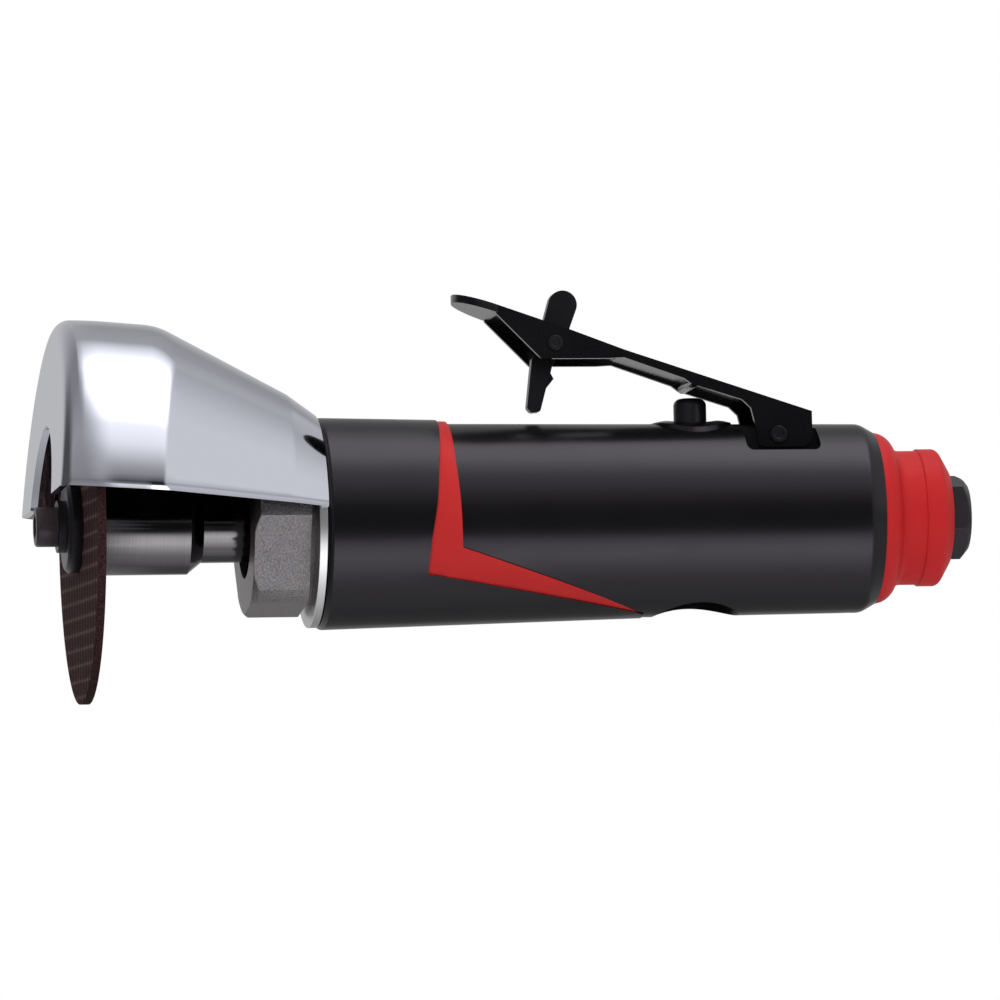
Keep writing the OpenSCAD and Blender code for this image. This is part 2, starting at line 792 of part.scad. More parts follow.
latch_head_t = 0.5;

function lever_point(s) = [lever_x - s[0] * lever_reach, lever_up + s[1] * lever_reach];
lever_top = [for (s = lever_top_shares) lever_point(s)];
lever_plate = [for (s = lever_plate_shares) lever_point(s)];
lever_plate_top = [for (s = lever_top_shares) if (s[0] < lever_hem_share) lever_point(s)];
latch_at = lever_point(latch_share);
function lower(pts, t) = [for (i = [len(pts) - 1 : -1 : 0]) pts[i] - [0, t]];
lever_hem = [for (s = lever_top_shares) if (s[0] >= lever_hem_share) lever_point(s)];

module lever_plan() {
  tip = lever_top[len(lever_top) - 1];
  heel = lever_top[0];
  linear_extrude(height = housing_front_d + lever_reach) soft_outline(
    [
      [tip[0], -lever_w / 2],
      [heel[0], -lever_w / 2],
      [heel[0], lever_w / 2],
      [tip[0], lever_w / 2]
    ],
    [lever_tip_corner, 0, 0, lever_tip_corner]
  );
}
module throttle_lever() {
  color("#161617") difference() {
    union() {
      intersection() {
        across(lever_w) polygon(concat(lever_top, lower(lever_top, lever_t)));
        lever_plan();
      }
      intersection() {
        across(lever_w) polygon(concat(lever_hem, lower(lever_hem, lever_tip_t)));
        lever_plan();
      }
      for (side = [-1, 1])
        translate([0, side * (lever_w - lever_t) / 2, 0])
          across(lever_t) polygon(concat(lever_plate_top, lever_plate));
      translate([valve_x, 0, plunger_top + press_gap + press_r])
        across(lever_w - lever_t) circle(r = press_r);
    }
    translate([lever_x, 0, lever_up]) across(2 * lever_w) circle(d = lever_pin_d + 2 * run_gap);
    translate([latch_at[0], 0, latch_at[1]]) across(2 * lever_w) circle(d = latch_pin_d + 2 * fit_gap);
    translate([latch_at[0] - slot_ahead, -slot_w / 2, latch_at[1]])
      cube([slot_ahead + slot_behind, slot_w, lever_reach]);
    translate([latch_at[0], -slot_w / 2, latch_at[1] - slot_behind])
      cube([slot_behind, slot_w, slot_behind + overrun]);
  }
}
module headed_pin(at, length, d, head_d, head_t) {
  translate([at[0], 0, at[1]]) difference() {
    union() {
      across(length) circle(d = d);
      for (side = [-1, 1])
        translate([0, side * (length - head_t) / 2, 0]) across(head_t) circle(d = head_d);
    }
    for (side = [-1, 1])
      translate([0, side * length / 2, 0]) across(head_t) circle(d = pin_dimple_share * head_d);
  }
}
module lever_pin() {
  length = lever_w + 2 * run_gap + 2 * pin_head_t;
  color("#1f1f21") headed_pin([lever_x, lever_up], length, lever_pin_d, pin_head_d, pin_head_t);
}
module latch_pin() {
  color("#1f1f21") headed_pin(latch_at, lever_w + 2 * latch_head_t, latch_pin_d, latch_head_d, latch_head_t);
}

// Safety latch: a paddle above the lever and a toothed leg that stands over the housing
latch_knob_x = 3;
latch_knob_up = 9;
latch_knob_d = 6.2;
latch_hub_d = 5.4;
latch_leg_len = 14.3;
latch_leg_shares = [
  [-0.16, 0.06], [-0.28, -0.19], [-0.37, -0.93], [-0.31, -1], [-0.17, -0.99], [-0.073, -0.636],
  [0.045, -0.493], [0, -0.406], [0.03, -0.29], [0.16, 0]
];
latch_foot_round = 1;
latch_foot_shares = [0, 0, 0.8, 1, 0.8, 0, 0, 0, 0, 0];
latch_knob = [latch_knob_x, latch_knob_up];
// Where the straight sides of the paddle touch its two rounds
function paddle_side(way) =
  let (
    slant = asin((latch_knob_d - latch_hub_d) / 2 / norm(latch_knob)),
    n = unit2(latch_knob) * -sin(slant) + way * side2(unit2(latch_knob)) * cos(slant)
  )
  [n * latch_hub_d / 2, latch_knob + n * latch_knob_d / 2];
module safety_latch() {
  left = paddle_side(1);
  right = paddle_side(-1);
  color("#1a1a1b") translate([latch_at[0], 0, latch_at[1]]) difference() {
    across(latch_t) {
      circle(d = latch_hub_d);
      translate(latch_knob) circle(d = latch_knob_d);
      polygon([left[0], right[0], right[1], left[1]]);
      soft_outline(latch_leg_len * latch_leg_shares, latch_foot_round * latch_foot_shares);
    }
    across(2 * latch_t) circle(d = latch_pin_d + 2 * run_gap);
  }
}

// Springs: a torsion spring on the latch's pin and a compression spring under the valve
coil_rings = 8;
latch_wire_d = 0.7;
latch_coil_r = 2.1;
latch_coil_turns = 3;
latch_coil_pitch = 1.2;
latch_coil_side = 2.1;
latch_arm_len = 8;
latch_coil_extra = 112;
valve_wire_d = 1;
valve_coil_r = 3.6;
valve_coil_turns = 5;

function least_gap(path, d, skip) = min([
  for (i = [0 : len(path) - 1])
    for (j = [i + skip : 1 : len(path) - 1])
      norm(path[i] - path[j])
]) - d;
latch_coil_angle = 360 * latch_coil_turns + latch_coil_extra;
latch_coil_steps = ceil(latch_coil_angle * coil_rings / 360);
function latch_coil_point(i) =
  let (a = 180 - latch_coil_angle * i / latch_coil_steps)
  [
    latch_coil_r * cos(a),
    latch_coil_side + latch_coil_pitch * latch_coil_angle / 360 * i / latch_coil_steps,
    latch_coil_r * sin(a)
  ];
latch_last_angle = 180 - latch_coil_angle;
latch_path = concat(
  [latch_coil_point(0) - [0, 0, latch_arm_len]],
  [for (i = [0 : latch_coil_steps]) latch_coil_point(i)],
  [latch_coil_point(latch_coil_steps) + latch_arm_len * [sin(latch_last_angle), 0, -cos(latch_last_angle)]]
);
echo(latch_spring_least_gap = least_gap(latch_path, latch_wire_d, coil_rings - 2));
module latch_spring() {
  color("silver") translate([latch_at[0], 0, latch_at[1]]) swept_wire(latch_path, latch_wire_d / 2);
}

// Throttle valve, from its plunger down to the air regulator
plunger_round = 1.6;
plunger_stem_d = 4;
plunger_shoulder_z = 10;
seat_z = 4;
poppet_d = 10.2;
poppet_t = 2.5;
poppet_boss_d = 5;
poppet_boss_len = 2;
seal_t = 0.8;
seal_d = 9.6;
port_z = 7;
port_d = 3.6;
bushing_ring_z = 16;
bushing_ring_d = 1.4;
regulator_play = 0.08;
regulator_boss_len = 1.5;
regulator_slot_w = 1.6;
regulator_slot_depth = 1.8;
regulator_ring_d = 1.4;
clip_w = 1.6;
clip_mouth = 5;
plunger_top = pad_top + plunger_out;
poppet_top = seat_z - fit_gap;
poppet_low = poppet_top - poppet_t;
spring_low = regulator_seat_z - regulator_play + valve_wire_d / 2 + fit_gap;
spring_high = poppet_low - valve_wire_d / 2 - fit_gap;
valve_coil_steps = valve_coil_turns * coil_rings;
valve_path = [
  for (i = [0 : valve_coil_steps])
    let (a = 360 * i / coil_rings)
    [
      valve_coil_r * cos(a),
      valve_coil_r * sin(a),
      spring_low + (spring_high - spring_low) * i / valve_coil_steps
    ]
];
echo(valve_spring_least_gap = least_gap(valve_path, valve_wire_d, coil_rings - 2));

module throttle_plunger() {
  color("#2e2d30") about_valve() {
    soft_outline(
      [
        [0, plunger_shoulder_z],
        [plunger_d / 2, plunger_shoulder_z],
        [plunger_d / 2, plunger_top],
        [0, plunger_top]
      ],
      [0, 0, plunger_round, 0]
    );
    translate([0, poppet_top]) square([plunger_stem_d / 2, plunger_shoulder_z - poppet_top + overrun]);
  }
}
module poppet_valve() {
  color("goldenrod") about_valve() difference() {
    union() {
      translate([0, poppet_low]) square([poppet_d / 2, poppet_t]);
      translate([0, poppet_low - poppet_boss_len]) square([poppet_boss_d / 2, poppet_boss_len + overrun]);
    }
    translate([plunger_stem_d / 2, poppet_top - seal_t])
      square([(seal_d - plunger_stem_d) / 2, seal_t + overrun]);
  }
}
module valve_seal() {
  color("#202020") about_valve() translate([plunger_stem_d / 2 + fit_gap, poppet_top - seal_t])
    square([(seal_d - plunger_stem_d) / 2 - 2 * fit_gap, seal_t]);
}
module valve_bushing() {
  color("goldenrod") difference() {
    about_valve() difference() {
      translate([plunger_d / 2 + run_gap, seat_z])
        square([(bushing_d - plunger_d) / 2 - run_gap, bushing_top - seat_z]);
      translate([bushing_d / 2 - bushing_ring_d, bushing_ring_z - bushing_ring_d / 2 - fit_gap])
        square([bushing_ring_d + overrun, bushing_ring_d + 2 * fit_gap]);
    }
    translate([0, 0, port_z]) rod_x(valve_x - bushing_d, valve_x, port_d / 2);
  }
}
module valve_bushing_o_ring() {
  color("#202020") about_valve() translate([(bushing_d - bushing_ring_d) / 2 + fit_gap / 2, bushing_ring_z])
    circle(d = bushing_ring_d - fit_gap);
}
module valve_spring() {
  color("silver") translate([valve_x, 0, 0]) swept_wire(valve_path, valve_wire_d / 2);
}
regulator_top = regulator_seat_z - regulator_play;
regulator_low = regulator_seat_z - clip_drop + regulator_play;
regulator_mid = (regulator_top + regulator_low) / 2;
regulator_r = regulator_d / 2 - run_gap;
module regulator_knob() {
  color("silver") difference() {
    about_valve() difference() {
      union() {
        translate([0, regulator_low]) square([regulator_r, regulator_top - regulator_low]);
        translate([0, regulator_top - overrun]) square([poppet_boss_d / 2, regulator_boss_len + overrun]);
      }
      translate([regulator_r - regulator_ring_d, regulator_mid - regulator_ring_d / 2 - fit_gap])
        square([regulator_ring_d + overrun, regulator_ring_d + 2 * fit_gap]);
    }
    translate([valve_x - regulator_d, -regulator_slot_w / 2, regulator_low - overrun])
      cube([2 * regulator_d, regulator_slot_w, regulator_slot_depth + overrun]);
  }
}
module regulator_o_ring() {
  color("#202020") about_valve()
    translate([regulator_r - regulator_ring_d / 2, regulator_mid]) circle(d = regulator_ring_d - fit_gap);
}
module regulator_clip() {
  clip_z = regulator_seat_z - clip_drop - clip_t;
  color("dimgray") difference() {
    about_valve() translate([regulator_d / 2 - clip_w, clip_z]) square([clip_w + clip_groove, clip_t]);
    translate([valve_x, -clip_mouth / 2, clip_z - overrun])
      cube([regulator_d, clip_mouth, clip_t + 2 * overrun]);
  }
}

// Exhaust cover, muffler and air inlet
cover_flare_r = 4.4;
cover_cove_r = 1.9;
cover_step_len = 6.6;
cover_ring_d = 29.7;
cover_ring_edge_r = 0.3;
cover_end_len = 2.4;
cover_end_d = 21.4;
cover_end_round = 1.6;
cover_room_d = 25.8;
cover_entry_d = 31;
cover_entry_len = 1.8;
cover_wall = 4.3;
exhaust_d = 1.6;
exhaust_ring_d = 19.2;
shank_tail = 0.6;
screen_d = 10.2;
screen_t = 1.2;
screen_seat_len = 2;
screen_hole_d = 1.2;
screen_rings = 3;
screen_ring_holes = 6;
inlet_chamfer_share = 0.85;
inlet_edge = 0.95;
inlet_clock = 49.2;
inlet_corner_r = inlet_flats / 2 / cos(30);
inlet_face_r = inlet_flats / 2 - inlet_edge;
muffler_end_gap = 0.5;
cover_bore_r = inlet_shank_d / 2 + fit_gap;
cover_step_x = cover_x - cover_step_len;
flare_at = [cover_flange_d / 2 - cover_flare_r, housing_rear_x];
cove_at_r = cover_waist_d / 2 + cover_cove_r;
flare_to_cove = cover_flare_r + cover_cove_r;
cove_at = [cove_at_r, housing_rear_x + sqrt(pow(flare_to_cove, 2) - pow(cove_at_r - flare_at[0], 2))];
flare_end = flare_at + (cove_at - flare_at) * cover_flare_r / flare_to_cove;
// Half outline of the flared front: a round flange that runs into a hollow and on to the waist
module cover_flare_outline() {
  difference() {
    union() {
      polygon([
        [cover_bore_r, housing_rear_x],
        flare_at,
        flare_end,
        [cover_waist_d / 2, cove_at[1]],
        [cover_waist_d / 2, cover_step_x + overrun],
        [cover_bore_r, cover_step_x + overrun]
      ]);
      intersection() {
        translate(flare_at) circle(r = cover_flare_r);
        translate([cover_bore_r, housing_rear_x]) square([cover_flange_d, cover_len]);
      }
    }
    translate(cove_at) circle(r = cover_cove_r);
  }
}
module exhaust_cover() {
  color("#c5262b") difference() {
    union() {
      about_x() cover_flare_outline();
      soft_turned(
        [
          [cover_bore_r, cover_step_x],
          [cover_ring_d / 2, cover_step_x],
          [cover_ring_d / 2, cover_x - cover_end_len],
          [cover_end_d / 2, cover_x],
          [cover_bore_r, cover_x]
        ],
        [0, cover_ring_edge_r, cover_end_round, 0, 0]
      );
    }
    rod_x(housing_rear_x - overrun, cover_x - cover_wall, cover_room_d / 2);
    rod_x(housing_rear_x - overrun, housing_rear_x + cover_entry_len, cover_entry_d / 2);
    for (i = [0 : exhaust_count - 1])
      rotate([360 * i / exhaust_count, 0, 0]) translate([0, 0, exhaust_ring_d / 2])
        rod_x(cover_x - cover_wall - overrun, cover_x + overrun, exhaust_d / 2);
  }
}
module exhaust_muffler() {
  color("tan") tube_x(
    housing_rear_x + muffler_end_gap, cover_x - cover_wall - muffler_end_gap,
    inlet_shank_d / 2 + fit_gap, cover_room_d / 2 - fit_gap
  );
}
module inlet_bushing() {
  color("#1b1b1c") difference() {
    union() {
      intersection() {
        translate([cover_x, 0, 0]) rotate([0, 90, 0]) rotate(inlet_clock)
          cylinder(h = inlet_hex_len, d = inlet_flats / cos(30), $fn = 6);
        turned([
          [0, cover_x],
          [inlet_corner_r + overrun, cover_x],
          [inlet_corner_r + overrun, -inlet_chamfer_share * (inlet_corner_r + overrun - inlet_face_r)],
          [inlet_face_r, 0],
          [0, 0]
        ]);
      }
      rod_x(housing_rear_x - inlet_thread_len + shank_tail, cover_x + overrun, inlet_shank_d / 2);
    }
    rod_x(-inlet_hole_len, overrun, inlet_hole_d / 2);
    rod_x(-inlet_hole_len - screen_seat_len, -inlet_hole_len + overrun, screen_d / 2);
    rod_x(housing_rear_x - inlet_thread_len, -inlet_hole_len, inlet_passage_d / 2);
  }
}
module inlet_o_ring() {
  color("#202020") about_x()
    translate([(inlet_shank_d + o_ring_groove_len) / 2, housing_rear_x - o_ring_groove_len / 2])
      circle(d = o_ring_wire_d);
}
module inlet_screen() {
  screen_x = -inlet_hole_len - screen_seat_len;
  color("silver") difference() {
    rod_x(screen_x, screen_x + screen_t, screen_d / 2 - fit_gap);
    for (ring = [0 : screen_rings - 1])
      let (holes = max(1, screen_ring_holes * ring))
      for (i = [0 : holes - 1])
        rotate([360 * i / holes, 0, 0]) translate([0, 0, ring * screen_d / (2 * screen_rings)])
          rod_x(screen_x - overrun, -inlet_hole_len + overrun, screen_hole_d / 2);
  }
}

housing();
accent_inlay();
clamp_nut();
front_dust_seal();
front_end_plate();
front_bearing_outer_ring();
front_bearing_inner_ring();
front_bearing_balls();
front_bearing_cage();
cylinder_liner();
liner_pin();
rotor();
rotor_vanes();
rear_end_plate();
rear_bearing_outer_ring();
rear_bearing_inner_ring();
rear_bearing_balls();
rear_bearing_cage();
rear_gasket();
spindle_arbor();
cutting_wheel();
wheel_bore_ring();
wheel_flange();
lock_washer();
wheel_screw();
wheel_guard();
throttle_lever();
lever_pin();
safety_latch();
latch_pin();
latch_spring();
throttle_plunger();
poppet_valve();
valve_seal();
valve_bushing();
valve_bushing_o_ring();
valve_spring();
regulator_knob();
regulator_o_ring();
regulator_clip();
exhaust_cover();
exhaust_muffler();
inlet_bushing();
inlet_o_ring();
inlet_screen();
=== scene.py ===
# %% [markdown]
# A pneumatic cut off tool in a white studio
# The solids of this tool come ready made, at their real size, from its construction drawing. This
# lesson dresses them: it gives every surface a finish, remakes the chromed guard and the springs as
# finer meshes, and lights the tool the way a catalogue photograph does. All lengths are metres, and the
# tool's own frame is used throughout: X runs along the tool, out of the air inlet, and Z points up
# through the throttle lever.

# %% Load the construction
import json
import math

import bmesh
import bpy
from mathutils import Matrix, Vector


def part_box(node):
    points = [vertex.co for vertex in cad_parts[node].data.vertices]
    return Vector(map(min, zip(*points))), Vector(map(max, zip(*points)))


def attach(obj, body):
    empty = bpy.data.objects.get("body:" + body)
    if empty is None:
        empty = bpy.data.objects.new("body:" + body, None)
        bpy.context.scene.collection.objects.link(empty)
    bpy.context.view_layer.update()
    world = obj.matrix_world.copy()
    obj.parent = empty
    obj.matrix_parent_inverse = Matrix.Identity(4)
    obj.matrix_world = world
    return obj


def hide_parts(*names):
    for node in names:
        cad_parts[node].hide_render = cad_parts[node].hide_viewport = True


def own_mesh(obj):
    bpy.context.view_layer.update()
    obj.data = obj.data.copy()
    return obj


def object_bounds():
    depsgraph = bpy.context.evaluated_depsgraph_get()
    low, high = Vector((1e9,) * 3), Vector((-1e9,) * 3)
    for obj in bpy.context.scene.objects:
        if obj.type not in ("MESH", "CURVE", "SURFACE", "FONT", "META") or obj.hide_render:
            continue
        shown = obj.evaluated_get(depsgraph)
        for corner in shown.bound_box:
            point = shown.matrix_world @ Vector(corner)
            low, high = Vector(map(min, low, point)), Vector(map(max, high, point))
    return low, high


MM = 0.001
FULL_TURN = 2 * math.pi

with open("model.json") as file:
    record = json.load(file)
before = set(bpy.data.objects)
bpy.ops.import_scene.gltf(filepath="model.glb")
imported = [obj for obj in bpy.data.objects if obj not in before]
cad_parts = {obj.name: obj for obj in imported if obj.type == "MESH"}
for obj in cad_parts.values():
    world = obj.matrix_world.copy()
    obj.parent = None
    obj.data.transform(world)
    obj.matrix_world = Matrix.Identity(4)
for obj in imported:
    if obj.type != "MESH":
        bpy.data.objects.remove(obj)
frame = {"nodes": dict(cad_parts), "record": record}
nodes = frame["nodes"]
cad_low, cad_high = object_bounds()
print("nodes:", len(nodes), "box in mm:", [round(c / MM, 1) for c in (*cad_low, *cad_high)])

# %% [markdown]
# The camera
# The photograph was taken from far away with a long lens, a little from the front and from slightly
# below the tool. A long lens keeps the grip's edges almost parallel. The camera is built from three
# directions, which is easier to reason about than three angles: back towards the camera, right, and up.
# A last small roll makes the tool's axis climb to the right as it does in the picture.

# %% Camera
CAMERA_AZIMUTH = math.radians(-8.67)
CAMERA_ELEVATION = math.radians(-5.0)
CAMERA_DISTANCE = 2.27
CAMERA_TARGET = Vector((-101.9 * MM, 0.0, 4.8 * MM))
PICTURE_WIDTH = 215.2 * MM
PICTURE_DEPTH = 4 * CAMERA_DISTANCE
AXIS_CLIMB = math.radians(0.58)
SENSOR_WIDTH = 36.0


def add_item(name, data):
    """Puts a mesh, a lamp or a camera into the scene."""
    item = bpy.data.objects.new(name, data)
    bpy.context.collection.objects.link(item)
    return item


back = Vector((
    math.sin(CAMERA_AZIMUTH) * math.cos(CAMERA_ELEVATION),
    -math.cos(CAMERA_AZIMUTH) * math.cos(CAMERA_ELEVATION),
    math.sin(CAMERA_ELEVATION),
))
level_right = Vector((0, 0, 1)).cross(back).normalized()
level_up = back.cross(level_right)
roll = math.atan2(level_up.x, level_right.x) - AXIS_CLIMB
right = level_right * math.cos(roll) + level_up * math.sin(roll)
up = level_up * math.cos(roll) - level_right * math.sin(roll)

camera_data = bpy.data.cameras.new("studio_camera")
camera_data.sensor_width = SENSOR_WIDTH
camera_data.lens = SENSOR_WIDTH * CAMERA_DISTANCE / PICTURE_WIDTH
camera_data.clip_end = PICTURE_DEPTH
camera = add_item("studio_camera", camera_data)
camera_place = Matrix((right, up, back)).transposed().to_4x4()
camera_place.translation = CAMERA_TARGET + back * CAMERA_DISTANCE
camera.matrix_world = camera_place
bpy.context.scene.camera = camera
bpy.context.scene.view_settings.view_transform = "Standard"
print("lens in mm:", round(camera_data.lens, 1), "roll in degrees:", round(math.degrees(roll), 2))

# %% [markdown]
# Writing shader nodes as sums
# A procedural finish is a small calculation that runs at every point of a surface. Wiring it by hand
# hides the idea, so one class wraps a socket and turns Python sums into Math nodes, with the socket on
# either side of the sign. Every node comes from one method, which takes the node's type, its settings
# and what goes into its sockets. The other methods are short names for the nodes that come back again
# and again.

# %% Wires and paints
class Wire:
    """A socket of a node tree that can be used in Python sums."""

    def __init__(self, paint, socket):
        self.paint = paint
        self.socket = socket

    def __add__(self, other):
        return self.paint.maths("ADD", self, other)

    def __sub__(self, other):
        return self.paint.maths("SUBTRACT", self, other)

    def __rsub__(self, other):
        return self.paint.maths("SUBTRACT", other, self)

    def __mul__(self, other):
        return self.paint.maths("MULTIPLY", self, other)

    def __truediv__(self, other):
        return self.paint.maths("DIVIDE", self, other)

    def __rtruediv__(self, other):
        return self.paint.maths("DIVIDE", other, self)

    def __gt__(self, other):
        return self.paint.maths("GREATER_THAN", self, other)

    def __lt__(self, other):
        return self.paint.maths("LESS_THAN", self, other)

    __radd__ = __add__
    __rmul__ = __mul__


class Paint:
    """A node tree under construction: a material, or the world."""

    def __init__(self, owner):
        owner.use_nodes = True
        self.owner = owner
        self.tree = owner.node_tree
        self.tree.nodes.clear()

    def node(self, kind, settings=None, inputs=None, out=0):
        """A node of any type, with its settings and inputs; the result is one of its outputs."""
        made = self.tree.nodes.new(kind)
        for name, value in (settings or {}).items():
            if name == "stops":
                self.set_stops(made.color_ramp, value)
            else:
                setattr(made, name, value)
        for name, value in (inputs or {}).items():
            if isinstance(value, Wire):
                self.tree.links.new(value.socket, made.inputs[name])
            else:
                made.inputs[name].default_value = value
        return Wire(self, made.outputs[out]) if made.outputs else None

    @staticmethod
    def set_stops(ramp, stops):
        while len(ramp.elements) < len(stops):
            ramp.elements.new(1.0)
        for element, (place, colour) in zip(ramp.elements, stops):
            element.position = place
            element.color = colour

    def maths(self, operation, *values):
        return self.node("ShaderNodeMath", {"operation": operation}, dict(enumerate(values)))

    def place(self):
        """The point of the surface, in the object's own space."""
        return self.node("ShaderNodeTexCoord", out="Object")

    def part(self, vector, axis):
        return self.node("ShaderNodeSeparateXYZ", None, {0: vector}, out=axis)

    def noise(self, scale, detail=2.0, roughness=0.5, stretch=(1, 1, 1)):
        """Soft random patches; scale is how many of them fit in a metre."""
        at = self.node("ShaderNodeVectorMath", {"operation": "MULTIPLY"}, {0: self.place(), 1: stretch})
        return self.node("ShaderNodeTexNoise", None,
                         {"Vector": at, "Scale": scale, "Detail": detail, "Roughness": roughness})

    def mix(self, factor, first, second):
        """From the first colour to the second as the factor goes from 0 to 1."""
        return self.node("ShaderNodeMix", {"data_type": "RGBA"}, {0: factor, 6: first, 7: second}, out=2)

    def spread(self, wire, low, high):
        """A wire from 0 to 1 laid out between two values."""
        return self.node("ShaderNodeMapRange", None, {"Value": wire, "To Min": low, "To Max": high})

    def bump(self, height, distance):
        return self.node("ShaderNodeBump", None, {"Height": height, "Distance": distance})

    def surface(self, **sockets):
        """The shader itself: underscores in a socket's name stand for spaces."""
        inputs = {name.replace("_", " "): value for name, value in sockets.items()}
        shader = self.node("ShaderNodeBsdfPrincipled", None, inputs)
        self.node("ShaderNodeOutputMaterial", None, {"Surface": shader})
        return self.owner


print("paint kit ready")

# %% [markdown]
# Colours
# A colour socket takes red, green, blue and alpha. Most finishes run between a colour and a darker or
# lighter version of it, and their gloss wanders a little about one value, so both get a helper.

# %% Colours
def rgb(red, green, blue):
    return (red, green, blue, 1.0)


def grey(value):
    return rgb(value, value, value)


def shaded(colour, share):
    """A colour made darker or lighter by a share."""
    return rgb(*(share * part for part in colour))


def around(middle, reach):
    """The two ends of a reach, laid about a middle value."""
    return [middle + end for end in reach]


def new_paint(name):
    return Paint(bpy.data.materials.new(name))


print("colour helpers ready")

# %% [markdown]
# The white world
# The picture has a pure white ground. So the world is white for whatever looks straight at it, in a
# mirror or through something clear, and gentler for the light that falls on dull surfaces. Light Path
# tells one from the other, which keeps the ground white without putting more light on the tool.

# %% World
WORLD_LIGHT = 0.55

world = bpy.data.worlds.new("white_studio")
bpy.context.scene.world = world
sky = Paint(world)
seen = sky.node("ShaderNodeLightPath", out="Is Camera Ray")
mirrored = sky.node("ShaderNodeLightPath", out="Is Glossy Ray")
through = sky.node("ShaderNodeLightPath", out="Is Transmission Ray")
shown = sky.maths("MINIMUM", seen + mirrored + through, 1.0)
strength = sky.spread(shown, WORLD_LIGHT, 1.0)
ground_white = sky.node("ShaderNodeBackground", None, {"Color": grey(1.0), "Strength": strength})
sky.node("ShaderNodeOutputWorld", None, {"Surface": ground_white})
print("world light on dull surfaces:", WORLD_LIGHT)

# %% [markdown]
# The floor
# The floor lies as far below the tool's axis as the tool reaches above it, and a little more, so that
# the swung guard clears it. It holds the tool's shadow for anyone who looks from above. The camera of
# the picture looks up from below it, so the floor's underside lets the view through.

# %% Floor
FLOOR_DROP = 4 * MM
FLOOR_REACH = 3.0
FLOOR_PALE = 0.86

floor_z = -cad_high.z - FLOOR_DROP
floor_corners = [(x * FLOOR_REACH, y * FLOOR_REACH, floor_z)
                 for x, y in ((-1, -1), (1, -1), (1, 1), (-1, 1))]
floor_mesh = bpy.data.meshes.new("studio_floor")
floor_mesh.from_pydata(floor_corners, [], [(0, 1, 2, 3)])
floor = add_item("studio_floor", floor_mesh)
floor.visible_glossy = False

ground = new_paint("floor_pale")
matt = ground.node("ShaderNodeBsdfDiffuse", None, {"Color": grey(FLOOR_PALE)})
clear = ground.node("ShaderNodeBsdfTransparent")
below = ground.node("ShaderNodeNewGeometry", out="Backfacing")
one_sided = ground.node("ShaderNodeMixShader", None, {0: below, 1: matt, 2: clear})
ground.node("ShaderNodeOutputMaterial", None, {"Surface": one_sided})
floor_mesh.materials.append(ground.owner)
print("floor at z in mm:", round(floor_z / MM, 1))

# %% [markdown]
# The lamps
# Four large soft lamps light the dull surfaces: one from the front and above, one overhead, a weak one
# from the right that fills the shadows, and one from behind. Each is placed from the tool's middle and
# aimed at it. Mirrors don't see them, because the reflections get a pattern of their own in the next
# step.

# %% Lamps
LAMPS = {
    "key_softbox": {"offset": (-0.35, -0.9, 0.9), "size": (0.9, 0.6), "watts": 7},
    "top_softbox": {"offset": (0.15, 0.15, 1.1), "size": (0.9, 0.9), "watts": 6},
    "fill_softbox": {"offset": (0.6, -1.1, -0.05), "size": (0.6, 0.9), "watts": 3},
    "rim_softbox": {"offset": (0.2, 1.1, 0.5), "size": (1.0, 0.5), "watts": 3},
}

tool_middle = (cad_low + cad_high) / 2


def softbox(name, offset, size, watts):
    lamp = bpy.data.lights.new(name, "AREA")
    lamp.shape = "RECTANGLE"
    lamp.size, lamp.size_y = size
    lamp.energy = watts
    item = add_item(name, lamp)
    item.location = tool_middle + Vector(offset)
    item.rotation_euler = (-Vector(offset)).to_track_quat("-Z", "Y").to_euler()
    item.visible_glossy = False


for lamp_name, lamp_row in LAMPS.items():
    softbox(lamp_name, **lamp_row)
print("lamps:", len(LAMPS), "aimed at mm:", [round(c / MM, 1) for c in tool_middle])

# %% [markdown]
# The reflection tent
# Chrome and satin black show the studio rather than its lamps. A tent that only reflections see carries
# that pattern, so it can be drawn without changing the light on the dull surfaces. Its walls are ramps
# of glow over the angle round the tool's length: 0 degrees is level in front, 90 overhead, -90 below,
# and 180 level behind. The wall in front has a wide softbox overhead, a bright sweep of paper low down
# and a dark band at the height of the photographer. The walls to the left and right are plainer. The
# far ends are dark, which deepens the line down the guard's front corner.

# %% Reflection tent
TENT_RADIUS = 3.0
TENT_SIDES, TENT_RINGS = 48, 24
TENT_PEAK = 4.0
TENT_DARK = 0.02
FRONT_GLOW = (
    (-180, 0.60), (-150, 0.15), (-120, 0.26), (-95, 0.62), (-76, 0.85), (-60, 1.55), (-45, 2.50),
    (-32, 2.20), (-26, 1.60), (-19, 0.08), (-8, 0.02), (12, 0.03), (26, 0.42), (40, 1.00), (52, 1.20),
    (64, 2.20), (74, 3.10), (92, 2.60), (106, 1.30), (122, 0.42), (145, 0.34), (180, 0.66),
)
LEFT_GLOW = (
    (-180, 0.52), (-120, 0.45), (-60, 0.32), (0, 0.22), (45, 0.36), (80, 0.26), (105, 0.26), (135, 0.40),
    (160, 0.52), (180, 0.52),
)
RIGHT_GLOW = (
    (-180, 0.20), (-150, 0.40), (-90, 0.45), (-30, 0.60), (0, 0.40), (25, 0.72), (70, 0.72), (90, 0.64),
    (115, 0.46), (150, 0.56), (180, 0.20),
)
FRONT_WIDTH = {"low": 1, "high": 28, "soft": 4}
LEFT_WIDTH = {"low": -120, "high": 1, "soft": 4}
DARK_WIDTHS = ({"low": -140, "high": -48, "soft": 16}, {"low": 78, "high": 120, "soft": 6})


